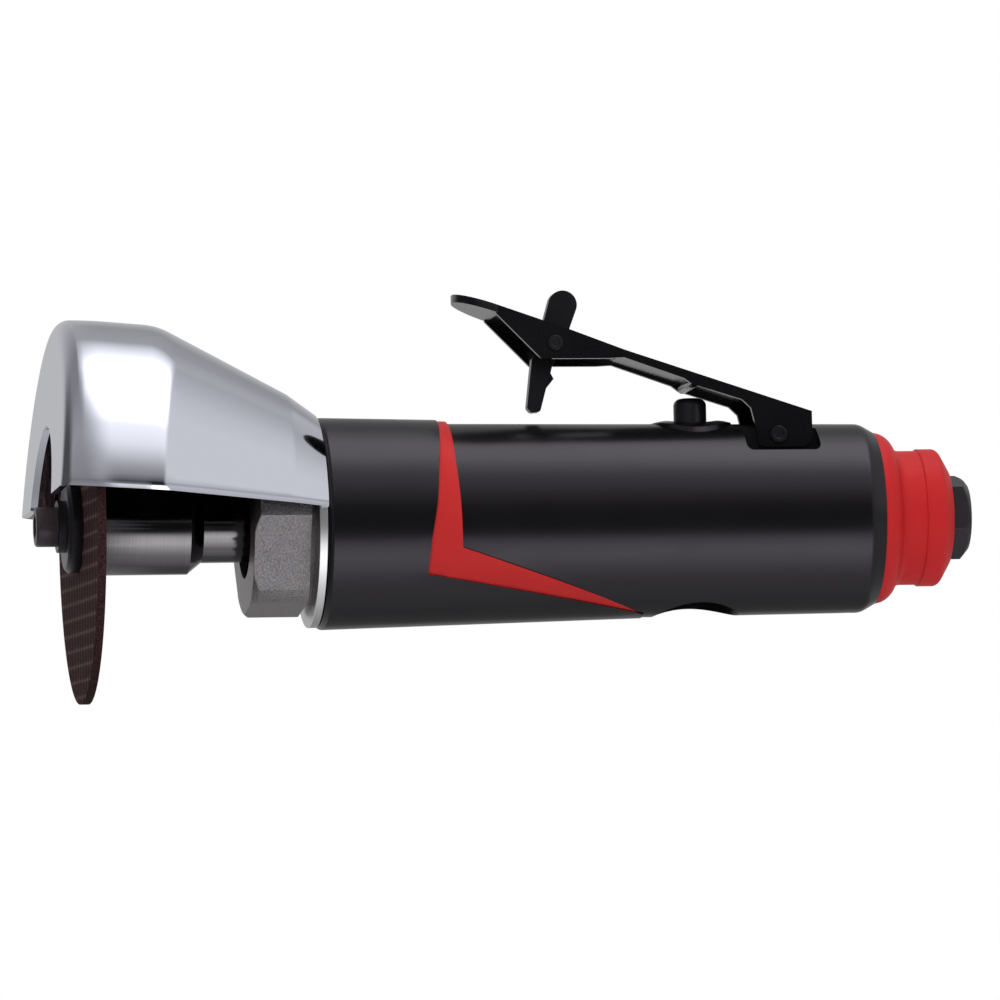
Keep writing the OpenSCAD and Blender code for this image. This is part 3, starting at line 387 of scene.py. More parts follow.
def band(paint, wire, low, high, soft):
    """One inside an interval of degrees, zero outside, with soft borders."""
    edges = []
    for edge, way in ((low, 1), (high, -1)):
        start, end = math.radians(edge - way * soft), math.radians(edge + way * soft)
        edges.append(paint.node("ShaderNodeMapRange", {"interpolation_type": "SMOOTHSTEP"},
                                {"Value": wire, "From Min": start, "From Max": end}))
    return edges[0] * edges[1]


def wall_glow(paint, turn, glows):
    """A wall's glow as a ramp, from behind by way of below, in front and above to behind again."""
    stops = [((degrees + 180) / 360, grey(glow / TENT_PEAK)) for degrees, glow in glows]
    return paint.node("ShaderNodeValToRGB", {"stops": stops}, {0: turn})


tent_mesh = bpy.data.meshes.new("reflection_tent")
tent_shape = bmesh.new()
bmesh.ops.create_uvsphere(tent_shape, u_segments=TENT_SIDES, v_segments=TENT_RINGS, radius=TENT_RADIUS)
tent_shape.to_mesh(tent_mesh)
tent_shape.free()
tent = add_item("reflection_tent", tent_mesh)
for ray in ("camera", "diffuse", "transmission", "volume_scatter", "shadow"):
    setattr(tent, "visible_" + ray, False)

cloth = new_paint("reflection_tent")
cloth_spot = cloth.place()
along, away, height = (cloth.part(cloth_spot, axis) for axis in "XYZ")
tent_turn = cloth.maths("ARCTAN2", height, away * -1) / FULL_TURN + 0.5
sideways = cloth.maths("ARCSINE", along / TENT_RADIUS)
glow = wall_glow(cloth, tent_turn, RIGHT_GLOW)
for width, glows in ((FRONT_WIDTH, FRONT_GLOW), (LEFT_WIDTH, LEFT_GLOW)):
    glow = cloth.mix(band(cloth, sideways, **width), glow, wall_glow(cloth, tent_turn, glows))
for width in DARK_WIDTHS:
    glow = cloth.mix(band(cloth, sideways, **width), glow, grey(TENT_DARK))
shine = cloth.node("ShaderNodeEmission", None, {"Color": glow, "Strength": TENT_PEAK})
cloth.node("ShaderNodeOutputMaterial", None, {"Surface": shine})
tent_mesh.materials.append(cloth.owner)
print("tent radius in m:", TENT_RADIUS)

# %% [markdown]
# Moulded plastics
# The grip is moulded from glass-filled nylon: almost black, satin, with a fine even grain that breaks
# its highlights. The red inlay and the exhaust cover are duller. A picture of grain could be wrapped
# on, but it would stretch at the edges. Noise in the object's own space has no seams, so a fine noise
# drives the bump and a coarse one makes colour and gloss wander a little. In the picture the black
# sheen leans to violet, which is a tint of the highlight and not of the colour.

# %% Moulded plastics
SHEEN_TINT = rgb(0.93, 0.86, 1.0)
MOULD_GRAIN = {"scale": 2600, "detail": 3.0, "roughness": 0.55}
MOULD_CLOUD = {"scale": 55}
MOULD_DARK = 0.86
MOULD_GLOSS = (-0.05, 0.06)


def moulded(name, colour, rough, grain_depth, specular):
    paint = new_paint(name)
    cloud = paint.noise(**MOULD_CLOUD)
    return paint.surface(
        Base_Color=paint.mix(cloud, shaded(colour, MOULD_DARK), rgb(*colour)),
        Roughness=paint.spread(cloud, *around(rough, MOULD_GLOSS)),
        Specular_IOR_Level=specular,
        Specular_Tint=SHEEN_TINT,
        Normal=paint.bump(paint.noise(**MOULD_GRAIN), grain_depth),
    )


grip_black = moulded("grip_black", (0.0046, 0.0042, 0.0048),
                     rough=0.24, grain_depth=0.012 * MM, specular=0.40)
inlay_red = moulded("inlay_red", (0.48, 0.021, 0.020),
                    rough=0.42, grain_depth=0.008 * MM, specular=0.12)
cover_red = moulded("cover_red", (0.48, 0.016, 0.017),
                    rough=0.42, grain_depth=0.008 * MM, specular=0.12)
print("moulded:", grip_black.name, inlay_red.name, cover_red.name)

# %% [markdown]
# Chrome
# Chrome mirrors the room, so its finish is mostly what it reflects. A perfect mirror looks drawn with a
# ruler, though: polished sheet steel keeps a faint waviness from the press. A weak, wide bump bends the
# reflections just enough. The clamped ring has the same finish, left far duller.

# %% Chrome
CHROME_WAVE = {"scale": 38, "detail": 1.0}
CHROME_HAZE = {"scale": 400, "detail": 3.0}
CHROME_GLOSS = (0.0, 0.04)
CHROME_DEPTH = 0.12 * MM


def chromed(name, colour, rough):
    paint = new_paint(name)
    return paint.surface(
        Base_Color=rgb(*colour),
        Metallic=1.0,
        Roughness=paint.spread(paint.noise(**CHROME_HAZE), *around(rough, CHROME_GLOSS)),
        Normal=paint.bump(paint.noise(**CHROME_WAVE), CHROME_DEPTH),
    )


guard_chrome = chromed("guard_chrome", (0.74, 0.755, 0.85), rough=0.035)
ring_zinc = chromed("ring_zinc", (0.86, 0.86, 0.87), rough=0.34)
print("chromed:", guard_chrome.name, ring_zinc.name)

# %% [markdown]
# Turned steel and brass
# The arbor, the bearings and the valve come from a lathe, which leaves fine rings round the work. Noise
# that changes quickly along X and slowly across it gives such rings, uneven in depth as real ones are.

# %% Turned metal
TURNED_RINGS = {"scale": 1.0, "detail": 2.0, "roughness": 0.6, "stretch": (2600, 30, 30)}
TURNED_CLOUD = {"scale": 120}
TURNED_LIGHT = 1.25
TURNED_GLOSS = (-0.06, 0.07)
TURNED_DEPTH = 0.006 * MM


def turned_metal(name, colour, rough):
    paint = new_paint(name)
    rings = paint.noise(**TURNED_RINGS)
    return paint.surface(
        Base_Color=paint.mix(rings, rgb(*colour), shaded(colour, TURNED_LIGHT)),
        Metallic=1.0,
        Roughness=paint.spread(paint.noise(**TURNED_CLOUD), *around(rough, TURNED_GLOSS)),
        Normal=paint.bump(rings, TURNED_DEPTH),
    )


arbor_steel = turned_metal("arbor_steel", (0.128, 0.122, 0.130), rough=0.13)
ground_steel = turned_metal("ground_steel", (0.52, 0.52, 0.53), rough=0.26)
valve_brass = turned_metal("valve_brass", (0.56, 0.38, 0.13), rough=0.28)
cage_brass = turned_metal("cage_brass", (0.48, 0.36, 0.16), rough=0.36)
print("turned:", arbor_steel.name, ground_steel.name, valve_brass.name, cage_brass.name)

# %% [markdown]
# The nut's forged grain, with painted shade in its pits
# The clamp nut keeps the grain of its mould: pits and bumps of two sizes. One relief drives both the bump
# and the colour, so that the dark places are also the low ones: a painted shade in the pits and a painted
# highlight on the bumps.

# %% Forged metal
FORGED_COARSE = {"scale": 2000, "detail": 4.0, "roughness": 0.65}
FORGED_FINE = {"scale": 4200, "detail": 3.0, "roughness": 0.6}
COARSE_RISE, FINE_RISE = 0.7, 0.3
# Shares of the colour for the painted shade in the pits and the painted highlight on the bumps.
FORGED_PIT_SHADE, FORGED_BUMP_HIGHLIGHT = 0.72, 1.75
FORGED_START, FORGED_CONTRAST = 0.3, 2.5
FORGED_GLOSS = (-0.08, 0.1)
FORGED_DEPTH = 0.26 * MM


def forged_metal(name, colour, rough):
    paint = new_paint(name)
    fine = paint.noise(**FORGED_FINE)
    relief = paint.noise(**FORGED_COARSE) * COARSE_RISE + fine * FINE_RISE
    raised = (relief - FORGED_START) * FORGED_CONTRAST
    return paint.surface(
        # Painted shade in the pits, painted highlight on the bumps, both following the relief.
        Base_Color=paint.mix(raised, shaded(colour, FORGED_PIT_SHADE), shaded(colour, FORGED_BUMP_HIGHLIGHT)),
        Metallic=1.0,
        Roughness=paint.spread(fine, *around(rough, FORGED_GLOSS)),
        Normal=paint.bump(relief, FORGED_DEPTH),
    )


nut_steel = forged_metal("nut_steel", (0.24, 0.226, 0.236), rough=0.33)
print("forged:", nut_steel.name)

# %% [markdown]
# Black paint and black oxide
# The lever and its latch are painted steel, and the wheel's flange and the inlet are blackened with
# oxide. Paint dries with a trace of orange peel, and a clear coat over the dark colour gives it a
# second, sharper highlight. Oxide has no such coat. The wheel's screw is a little paler, as wrenches
# rub it.

# %% Lacquer and oxide
LACQUER_PEEL = {"scale": 650}
LACQUER_CLOUD = {"scale": 90}
LACQUER_LIGHT = 1.6
LACQUER_GLOSS = (-0.05, 0.06)
LACQUER_DEPTH = 0.010 * MM
COAT_ROUGH = 0.12


def lacquered(name, colour, rough, coat):
    paint = new_paint(name)
    cloud = paint.noise(**LACQUER_CLOUD)
    return paint.surface(
        Base_Color=paint.mix(cloud, rgb(*colour), shaded(colour, LACQUER_LIGHT)),
        Roughness=paint.spread(cloud, *around(rough, LACQUER_GLOSS)),
        Specular_Tint=SHEEN_TINT,
        Coat_Weight=coat,
        Coat_Roughness=COAT_ROUGH,
        Normal=paint.bump(paint.noise(**LACQUER_PEEL), LACQUER_DEPTH),
    )


lever_black = lacquered("lever_black", (0.0025, 0.0025, 0.0028), rough=0.19, coat=0.3)
latch_black = lacquered("latch_black", (0.004, 0.004, 0.0044), rough=0.28, coat=0.2)
screw_steel = lacquered("screw_steel", (0.024, 0.019, 0.020), rough=0.30, coat=0.0)
oxide_black = lacquered("oxide_black", (0.005, 0.0047, 0.0052), rough=0.30, coat=0.0)
print("black:", lever_black.name, latch_black.name, screw_steel.name, oxide_black.name)

# %% [markdown]
# The abrasive wheel
# A thin cutting wheel is grit in brown resin between two sheets of woven glass. The weave shows as a
# grid of raised threads, pale where two of them cross, with grit in the gaps. Two waves at right angles
# make the threads, and a coarse speckle makes the grit. The pattern lies in the plane of the disc, so
# it reads Y and Z and ignores X. The rim is cut, so threads are kept to the two flat faces.

# %% Abrasive
WEAVE_SPACING = {"Y": 5.0 * MM, "Z": 3.4 * MM}
WEAVE_TURN = math.radians(-2.4)
WEAVE_SHARP = 7.0
WEAVE_SHOWS = 0.75
FACE_TILT = 0.7
WHEEL_GRAIN = {"scale": 2400, "detail": 4.0, "roughness": 0.7}
WHEEL_PATCH = {"scale": 420, "detail": 3.0, "roughness": 0.6}
GRIT_START, GRIT_CONTRAST = 0.36, 3.4
RESIN_DARK, RESIN_LIGHT = rgb(0.011, 0.0048, 0.0054), rgb(0.052, 0.024, 0.026)
GLASS_DARK, GLASS_LIGHT = rgb(0.046, 0.021, 0.022), rgb(0.105, 0.060, 0.058)
KNOT_PALE = rgb(0.22, 0.15, 0.15)
WEAVE_RISE, KNOT_RISE, GRAIN_RISE = 0.4, 0.2, 0.4
WHEEL_ROUGH = (0.7, 0.95)
WHEEL_SPECULAR = 0.04
WHEEL_DEPTH = 0.3 * MM


def abrasive(name):
    paint = new_paint(name)
    spot = paint.node("ShaderNodeVectorRotate", {"rotation_type": "X_AXIS"},
                      {"Vector": paint.place(), "Angle": WEAVE_TURN})
    threads = []
    for axis, spacing in WEAVE_SPACING.items():
        wave = paint.maths("SINE", paint.part(spot, axis) * (FULL_TURN / spacing)) * 0.5 + 0.5
        threads.append(paint.maths("POWER", wave, WEAVE_SHARP))
    tilt = paint.part(paint.node("ShaderNodeTexCoord", out="Normal"), "X")
    on_face = paint.maths("ABSOLUTE", tilt) > FACE_TILT
    thread = paint.maths("MAXIMUM", *threads) * on_face
    knot = threads[0] * threads[1] * on_face
    grain = paint.noise(**WHEEL_GRAIN)
    grit = (grain - GRIT_START) * GRIT_CONTRAST
    resin = paint.mix(grit, RESIN_DARK, RESIN_LIGHT)
    glass = paint.mix(paint.noise(**WHEEL_PATCH), GLASS_DARK, GLASS_LIGHT)
    woven = paint.mix(thread * WEAVE_SHOWS, resin, glass)
    relief = thread * WEAVE_RISE + knot * KNOT_RISE + grain * GRAIN_RISE
    return paint.surface(
        Base_Color=paint.mix(knot * grit, woven, KNOT_PALE),
        Roughness=paint.spread(grain, *WHEEL_ROUGH),
        Specular_IOR_Level=WHEEL_SPECULAR,
        Normal=paint.bump(relief, WHEEL_DEPTH),
    )


wheel_abrasive = abrasive("wheel_abrasive")
print("abrasive:", wheel_abrasive.name)

# %% [markdown]
# Rubber, felt and fibre
# The seals, the muffler's felt and the vanes of the motor are hidden in the whole tool and show when it
# is taken apart. All of them are matt with a grain of their own size, so one helper makes them.

# %% Soft finishes
SOFT_DETAIL, SOFT_ROUGHNESS = 4.0, 0.65
SOFT_LIGHT = 1.5


def soft_matter(name, colour, rough, grains, depth):
    """A matt finish; grains is how many grains fit in a metre."""
    paint = new_paint(name)
    grain = paint.noise(grains, SOFT_DETAIL, SOFT_ROUGHNESS)
    return paint.surface(
        Base_Color=paint.mix(grain, rgb(*colour), shaded(colour, SOFT_LIGHT)),
        Roughness=rough,
        Normal=paint.bump(grain, depth),
    )


seal_rubber = soft_matter("seal_rubber", (0.016, 0.016, 0.016), rough=0.7, grains=1800, depth=0.02 * MM)
muffler_felt = soft_matter("muffler_felt", (0.30, 0.25, 0.18), rough=0.95, grains=2500, depth=0.15 * MM)
vane_fibre = soft_matter("vane_fibre", (0.16, 0.08, 0.04), rough=0.6, grains=1500, depth=0.03 * MM)
print("soft:", seal_rubber.name, muffler_felt.name, vane_fibre.name)

# %% [markdown]
# Dressing the solids
# Each solid keeps its own mesh and only gets a finish and softened edges. A real edge is never sharp,
# and the thin bright line on it tells the eye that a thing is solid. A bevel limited by angle rounds
# the edges and leaves the curves. The solids arrive as triangles, so points that meet are joined first
# and flat stretches are cleared.

# %% Finishes and edges
FINISH_OF_SLOT = {
    "housing_black": grip_black, "accent_red": inlay_red, "cover_red": cover_red, "chrome": guard_chrome,
    "arbor_steel": arbor_steel, "nut_steel": nut_steel, "abrasive": wheel_abrasive,
    "bright_steel": ground_steel, "dark_steel": oxide_black, "brass": valve_brass,
    "lever_black": lever_black, "latch_black": latch_black, "seal_rubber": seal_rubber,
    "felt": muffler_felt, "vane_phenolic": vane_fibre, "cage_steel": cage_brass,
}
FINISH_OF_NODE = {"wheel_screw": screw_steel}
EDGE_ROUND_MM = {
    "accent_inlay": 0.12, "clamp_nut": 0.35, "throttle_lever": 0.42, "safety_latch": 0.5,
    "spindle_arbor": 0.25, "wheel_flange": 0.3, "wheel_screw": 0.25, "exhaust_cover": 0.25,
    "inlet_bushing": 0.2, "lever_pin": 0.2, "latch_pin": 0.18, "throttle_plunger": 0.1,
    "regulator_knob": 0.15, "regulator_clip": 0.1,
}
EDGE_DEGREES = 32
EDGE_SEGMENTS = 3
SEAM = 0.002 * MM
FLAT_ANGLE = math.radians(0.4)


def round_edges(item, width, degrees=EDGE_DEGREES, segments=EDGE_SEGMENTS):
    bevel = item.modifiers.new("soft_edges", "BEVEL")
    bevel.width = width
    bevel.segments = segments
    bevel.limit_method = "ANGLE"
    bevel.angle_limit = math.radians(degrees)
    bevel.harden_normals = True


def finish_node(name, material):
    item = nodes[name]
    item.data.materials.clear()
    item.data.materials.append(material)
    if name in EDGE_ROUND_MM:
        weld = item.modifiers.new("join_faces", "WELD")
        weld.merge_threshold = SEAM
        flatten = item.modifiers.new("clear_flats", "DECIMATE")
        flatten.decimate_type = "DISSOLVE"
        flatten.angle_limit = FLAT_ANGLE
        round_edges(item, EDGE_ROUND_MM[name] * MM)


for row in frame["record"]["subparts"]:
    finish_node(row["node"], FINISH_OF_NODE.get(row["node"], FINISH_OF_SLOT[row["material_slot"]]))
print("finished nodes:", len(nodes))

# %% [markdown]
# The guard's outline
# The real guard is drawn from one sheet: a drum round the wheel, a cone and a tail down to the grip,
# and a flat ring that the nut clamps. Chrome shows every facet, so the solid's mesh is remade here as
# an even grid. The outline is written once, as corners with a rounding each, in a radius from the
# guard's axis and a length along it. That axis leans a little against the tool's. The drum is very
# slightly crowned, as drawn sheet is, and that gives its highlight a soft border.

# %% Guard outline
GUARD_LIFT = 1.9 * MM
GUARD_LEAN = math.radians(5)
GUARD_EDGE_FRONT = 5.4 * MM
GUARD_EDGE_REAR = 1.7 * MM
GUARD_NOSE = -9.1 * MM
PLATE_RADIUS = 20.0 * MM
DRUM_RADIUS, DRUM_END = 42.2 * MM, 12.6 * MM
CONE_RADIUS, CONE_END = 29.8 * MM, 41.5 * MM
TAIL_RADIUS, TAIL_END = 22.2 * MM, 54.1 * MM
NOSE_ROUND, SHOULDER_ROUND, TAIL_ROUND = 3.0 * MM, 14.0 * MM, 9.0 * MM
DRUM_CROWN = 0.6 * MM
CROWN_START = 2.0 * MM
ARC_STEPS, DRUM_STEPS, CONE_STEPS = 16, 12, 14

guard_corners = [Vector(corner) for corner in (
    (PLATE_RADIUS, GUARD_NOSE), (DRUM_RADIUS, GUARD_NOSE), (DRUM_RADIUS, DRUM_END),
    (CONE_RADIUS, CONE_END), (TAIL_RADIUS, TAIL_END),
)]


def corner_arc(before, corner, after, rounding):
    """Points round a corner of an outline."""
    back_way = (before - corner).normalized()
    on_way = (after - corner).normalized()
    half = back_way.angle(on_way) / 2
    centre = corner + (back_way + on_way).normalized() * (rounding / math.sin(half))
    start = corner + back_way * (rounding / math.tan(half)) - centre
    end = corner + on_way * (rounding / math.tan(half)) - centre
    return [centre + start.slerp(end, step / ARC_STEPS) * rounding for step in range(ARC_STEPS + 1)]


def run_between(start, end, steps):
    return [start.lerp(end, step / steps) for step in range(1, steps)]


def crowned(point):
    """Takes a little off the radius towards the front."""
    ahead = max(0.0, CROWN_START - point.y) / (CROWN_START - GUARD_NOSE)
    return Vector((point.x - DRUM_CROWN * ahead * ahead, point.y))


nose, shoulder, tail = (corner_arc(*guard_corners[at:at + 3], rounding)
                        for at, rounding in enumerate((NOSE_ROUND, SHOULDER_ROUND, TAIL_ROUND)))
drum_run = run_between(nose[-1], shoulder[0], DRUM_STEPS)
cone_run = run_between(shoulder[-1], tail[0], CONE_STEPS)
outline = [crowned(point) for point in nose + drum_run + shoulder + cone_run + tail]
print("guard outline points:", len(outline))

# %% [markdown]
# Sweeping the outline
# Each point of the outline is swept about the guard's axis, and its row of the grid stops where the
# sloping lower edge cuts it. Cutting a full drum with a Boolean would be quicker to write, but it
# leaves slivers along the cut, and chrome shows those. The columns lie closer at both ends, where the
# edge will be rolled in.

# %% Rows of drum and cone
GUARD_COLUMNS = 109
CURL_COLUMNS = 6
CURL_SHARE = 0.013

wheel_low, wheel_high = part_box("cutting_wheel")
wheel_middle = (wheel_low.x + wheel_high.x) / 2
ring_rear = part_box("wheel_guard")[1].x
lean_cos, lean_sin = math.cos(GUARD_LEAN), math.sin(GUARD_LEAN)
edge_slope = (GUARD_EDGE_FRONT - GUARD_EDGE_REAR) / (ring_rear - wheel_middle - GUARD_NOSE)


def guard_spot(radius, along, turn):
    """A point from the guard's own radius, length and angle, in the tool's frame."""
    rise = radius * math.sin(turn)
    return Vector((wheel_middle + along * lean_cos + rise * lean_sin, radius * math.cos(turn),
                   GUARD_LIFT - along * lean_sin + rise * lean_cos))


def lower_edge_turn(radius, along):
    """The angle at which a ring of the guard meets the sloping lower edge."""
    edge = GUARD_EDGE_REAR + (ring_rear - wheel_middle - along * lean_cos) * edge_slope
    rise = edge - GUARD_LIFT + along * lean_sin
    return math.asin(rise / (radius * (lean_cos + lean_sin * edge_slope)))


def column_shares():
    """Even columns over the guard, with close ones where its lower edges roll in."""
    close = [CURL_SHARE * column / CURL_COLUMNS for column in range(CURL_COLUMNS)]
    even = GUARD_COLUMNS - 2 * CURL_COLUMNS
    wide = [CURL_SHARE + (1 - 2 * CURL_SHARE) * column / (even - 1) for column in range(even)]
    return close + wide + [1 - share for share in reversed(close)]


def turns_from(cut):
    """The angles of a row, from the lower edge over the top to the lower edge on the far side."""
    return [cut + (math.pi - 2 * cut) * share for share in column_shares()]


def ring_row(point):
    return [guard_spot(*point, turn) for turn in turns_from(lower_edge_turn(*point))]


body_rows = [ring_row(point) for point in outline]
print("rows of drum and cone:", len(body_rows), "lower edge slope:", round(edge_slope, 4))

# %% [markdown]
# The guard's two ends
# The front plate has a round mouth, centred on the tool's axis and not on the guard's, so the radius of
# its edge changes along the row. The tail is a cone that ends in the plane of the clamped ring, and a
# last narrow rim runs in to the ring itself. Where the lower edge cuts the tail depends on where the
# tail ends there, so a few rounds of trying find that angle.

# %% Mouth and tail
MOUTH_RADIUS = 21.5 * MM
RING_RADIUS = 22.3 * MM
RING_LAP = 0.25 * MM
CUT_ROUNDS = 4


def mouth_row():
    """The edge of the round mouth in the front plate."""
    height = GUARD_LIFT - GUARD_NOSE * lean_sin
    row = []
    for turn in turns_from(math.asin((GUARD_EDGE_FRONT - height) / MOUTH_RADIUS)):
        square = math.cos(turn) ** 2 + (math.sin(turn) * lean_cos) ** 2
        half = height * math.sin(turn) * lean_cos
        radius = (math.sqrt(half * half - square * (height * height - MOUTH_RADIUS ** 2)) - half) / square
        row.append(guard_spot(radius, GUARD_NOSE, turn))
    return row


def tail_spot(start, slope, turn):
    """Where the tail's cone meets the plane of the clamped ring: radius, length and angle."""
    lean = math.sin(turn) * lean_sin
    along = (ring_rear - wheel_middle - (start.x - slope * start.y) * lean) / (lean_cos + slope * lean)
    return start.x + slope * (along - start.y), along, turn


def tail_row():
    start = outline[-1]
    way = guard_corners[-1] - guard_corners[-2]
    slope = way.x / way.y
    cut = lower_edge_turn(*start)
    for _ in range(CUT_ROUNDS):
        cut = lower_edge_turn(*tail_spot(start, slope, cut)[:2])
    return [guard_spot(*tail_spot(start, slope, turn)) for turn in turns_from(cut)]


def seam_row(row):
    """The row moved inwards to the rim of the clamped ring."""
    shares = [(RING_RADIUS - RING_LAP) / math.hypot(point.y, point.z) for point in row]
    return [Vector((point.x, point.y * share, point.z * share)) for point, share in zip(row, shares)]


mouth = mouth_row()
tail_end = tail_row()
seam = seam_row(tail_end)
print("mouth and tail end in columns:", len(mouth), len(tail_end))

# %% [markdown]
# From rows to pieces
# A grid of points kept row by row becomes a mesh of four-sided faces. The same helper serves the guard,
# its ring, the springs and the thread. Every new piece is hung under an empty named for the body that
# carries it.

# %% Pieces from grids
def grid_faces(rows, columns, closed=False):
    """Four-sided faces over a grid of points kept row by row."""
    wide = columns if closed else columns - 1
    faces = []
    for here in range(0, (rows - 1) * columns, columns):
        there = here + columns
        for left in range(wide):
            next_one = (left + 1) % columns
            faces.append((here + left, here + next_one, there + next_one, there + left))
    return faces


def new_piece(name, points, faces, material, body, slot):
    """A piece of the tool from points and faces, dressed and carried by a body."""
    mesh = bpy.data.meshes.new(name)
    mesh.from_pydata([tuple(p) for p in points], [], faces)
    mesh.polygons.foreach_set("use_smooth", [True] * len(mesh.polygons))
    mesh.materials.append(material)
    piece = add_item(name, mesh)
    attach(piece, body)
    return piece


print("piece kit ready")

# %% [markdown]
# The guard's sheet
# The rows make a skin without thickness, and Solidify gives it that of the sheet, on the inside. The
# lower edge of the real sheet is rolled in, which catches a thin bright line. So the ends of each row
# are drawn inwards over their last stretch. The roll fades in over the front plate, whose own edge is
# plain.

# %% Guard sheet
GUARD_SHEET = 1.5 * MM
PLATE_ROWS, TAIL_ROWS, SEAM_ROWS = 8, 8, 3
CURL_DEPTH = 0.55 * MM
CURL_SPAN = 1.7 * MM
SHEET_EDGE = 0.14 * MM


def rows_between(first, last, steps):
    return [[a.lerp(b, step / steps) for a, b in zip(first, last)] for step in range(1, steps)]


def rolled(row, share):
    """A row with both ends drawn in, as the lower edge of the sheet is rolled."""
    points = []
    for point in row:
        near = min((point - row[0]).length, (point - row[-1]).length)
        draw = CURL_DEPTH * share * max(0.0, 1 - near / CURL_SPAN) ** 2
        points.append(point - Vector((0, math.copysign(draw, point.y), 0)))
    return points


plate_rows = [mouth] + rows_between(mouth, body_rows[0], PLATE_ROWS)
tail_rows = rows_between(body_rows[-1], tail_end, TAIL_ROWS) + [tail_end]
seam_rows = rows_between(tail_end, seam, SEAM_ROWS) + [seam]
plain_skin = plate_rows + body_rows + tail_rows + seam_rows
skin = [rolled(row, min(1.0, at / PLATE_ROWS)) for at, row in enumerate(plain_skin)]
guard = new_piece("guard_sheet", [p for row in skin for p in row], grid_faces(len(skin), GUARD_COLUMNS),
                  guard_chrome, "guard", "chrome")
sheet = guard.modifiers.new("sheet", "SOLIDIFY")
sheet.thickness = GUARD_SHEET
sheet.offset = -1
sheet.use_even_offset = True
round_edges(guard, SHEET_EDGE)
print("guard sheet rows:", len(skin), "columns:", GUARD_COLUMNS)

# %% [markdown]
# The clamped ring
# The guard ends in a flat ring that the clamp nut presses against the grip. It is a plain washer, so
# its section is turned about the tool's axis. It could be part of the sheet, but its zinc is duller
# than the chrome.

# %% Clamped ring
RING_HOLE = 17.4 * MM
RING_THICK = 1.8 * MM
RING_SIDES = 128


def about_axis(along, radius, turn):
    """A point at a radius and an angle about the tool's axis."""
    return Vector((along, radius * math.cos(turn), radius * math.sin(turn)))


def lathe(section, sides):
    """A closed section of radius and place, turned about the tool's axis."""
    closed = [*section, section[0]]
    turns = [FULL_TURN * side / sides for side in range(sides)]
    points = [about_axis(along, radius, turn) for radius, along in closed for turn in turns]
    return points, grid_faces(len(closed), sides, closed=True)


ring_front = ring_rear - RING_THICK
ring_section = (
    (RING_HOLE, ring_front), (RING_RADIUS, ring_front),
    (RING_RADIUS, ring_rear), (RING_HOLE, ring_rear),
)
guard_ring = new_piece("guard_ring", *lathe(ring_section, RING_SIDES), ring_zinc, "guard", "chrome")
round_edges(guard_ring, SHEET_EDGE)
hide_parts("wheel_guard")
print("ring thickness in mm:", round(RING_THICK / MM, 2))

# %% [markdown]
# Spring wire
# Two wound springs sit in the tool: a torsion spring on the latch's pin and a compression spring under
# the valve. Each is one wire along a helix. A curve object with a bevel would do, but its twist is hard
# to foresee, so a helper sweeps a ring of points along any path and carries the ring's direction from
# step to step.

# %% Spring wire
WIRE_SIDES = 14


def wire_tube(path, radius):
    """Points and faces of a round tube along a path, with flat ends."""
    rings = []
    side = None
    for at, spot in enumerate(path):
        way = (path[min(at + 1, len(path) - 1)] - path[max(at - 1, 0)]).normalized()
        side = way.orthogonal() if side is None else side - way * side.dot(way)
        side.normalize()
        other = way.cross(side)
        rings.append([spot + (side * math.cos(turn) + other * math.sin(turn)) * radius
                      for turn in (FULL_TURN * k / WIRE_SIDES for k in range(WIRE_SIDES))])
    points = [p for ring in rings for p in ring]
    faces = grid_faces(len(rings), WIRE_SIDES, closed=True)
    last = (len(rings) - 1) * WIRE_SIDES
    faces += [tuple(range(WIRE_SIDES))[::-1], tuple(last + k for k in range(WIRE_SIDES))]
    return points, faces


joints = {joint["name"]: joint for joint in frame["record"]["behaviour"]["joints"]}
latch_pivot = Vector(joints["latch_tilt"]["pos_m"])
plunger_travel = joints["plunger_slide"]["range_m"][1]
print("latch pivot in mm:", [round(c / MM, 2) for c in latch_pivot])
print("plunger travel in mm:", round(plunger_travel / MM, 2))

# %% [markdown]
# The latch's spring
# The torsion spring holds the latch upright. It is wound round the latch's pin, one arm rests on the
# lever and the other leans on the latch and turns with it. So the second arm is a piece of its own, on
# the latch's body.

# %% Latch spring
LATCH_WIRE = 0.7 * MM
LATCH_COIL = 2.1 * MM
LATCH_PITCH = 1.2 * MM
LATCH_SIDE = 2.1 * MM
LATCH_ARM = 8.0 * MM
LATCH_TURN = 3 * FULL_TURN + math.radians(112)
COIL_STEPS, ARM_STEPS = 90, 6
ARM_LAP = 4


def latch_coil(share):
    """A point of the coil at a share of its winding."""
    turn = math.pi - LATCH_TURN * share
    side = LATCH_SIDE + LATCH_PITCH * LATCH_TURN / FULL_TURN * share
    return latch_pivot + Vector((LATCH_COIL * math.cos(turn), side, LATCH_COIL * math.sin(turn)))


coil = [latch_coil(step / COIL_STEPS) for step in range(COIL_STEPS + 1)]
leave = (coil[-1] - coil[-2]).normalized()
leave.y = 0
arm_lengths = [LATCH_ARM * step / ARM_STEPS for step in range(1, ARM_STEPS + 1)]
lever_arm = [coil[-1] + leave.normalized() * length for length in arm_lengths]
latch_arm = [coil[0] - Vector((0, 0, length)) for length in reversed(arm_lengths)] + coil[:ARM_LAP]
latch_coil_piece = new_piece("latch_spring_coil", *wire_tube(coil + lever_arm, LATCH_WIRE / 2),
                             ground_steel, "lever", "bright_steel")
new_piece("latch_spring_arm", *wire_tube(latch_arm, LATCH_WIRE / 2), ground_steel, "latch", "bright_steel")
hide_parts("latch_spring")
print("latch spring turns:", round(LATCH_TURN / FULL_TURN, 2))

# %% [markdown]
# The valve's spring
# The compression spring pushes the valve and its plunger up. It stands in the valve's bore and is pressed
# shorter as the plunger goes down; here it is built at its rest length.

# %% Valve spring
VALVE_WIRE = 1.0 * MM
VALVE_COIL = 3.6 * MM
VALVE_TURNS = 5
VALVE_STEPS = 150

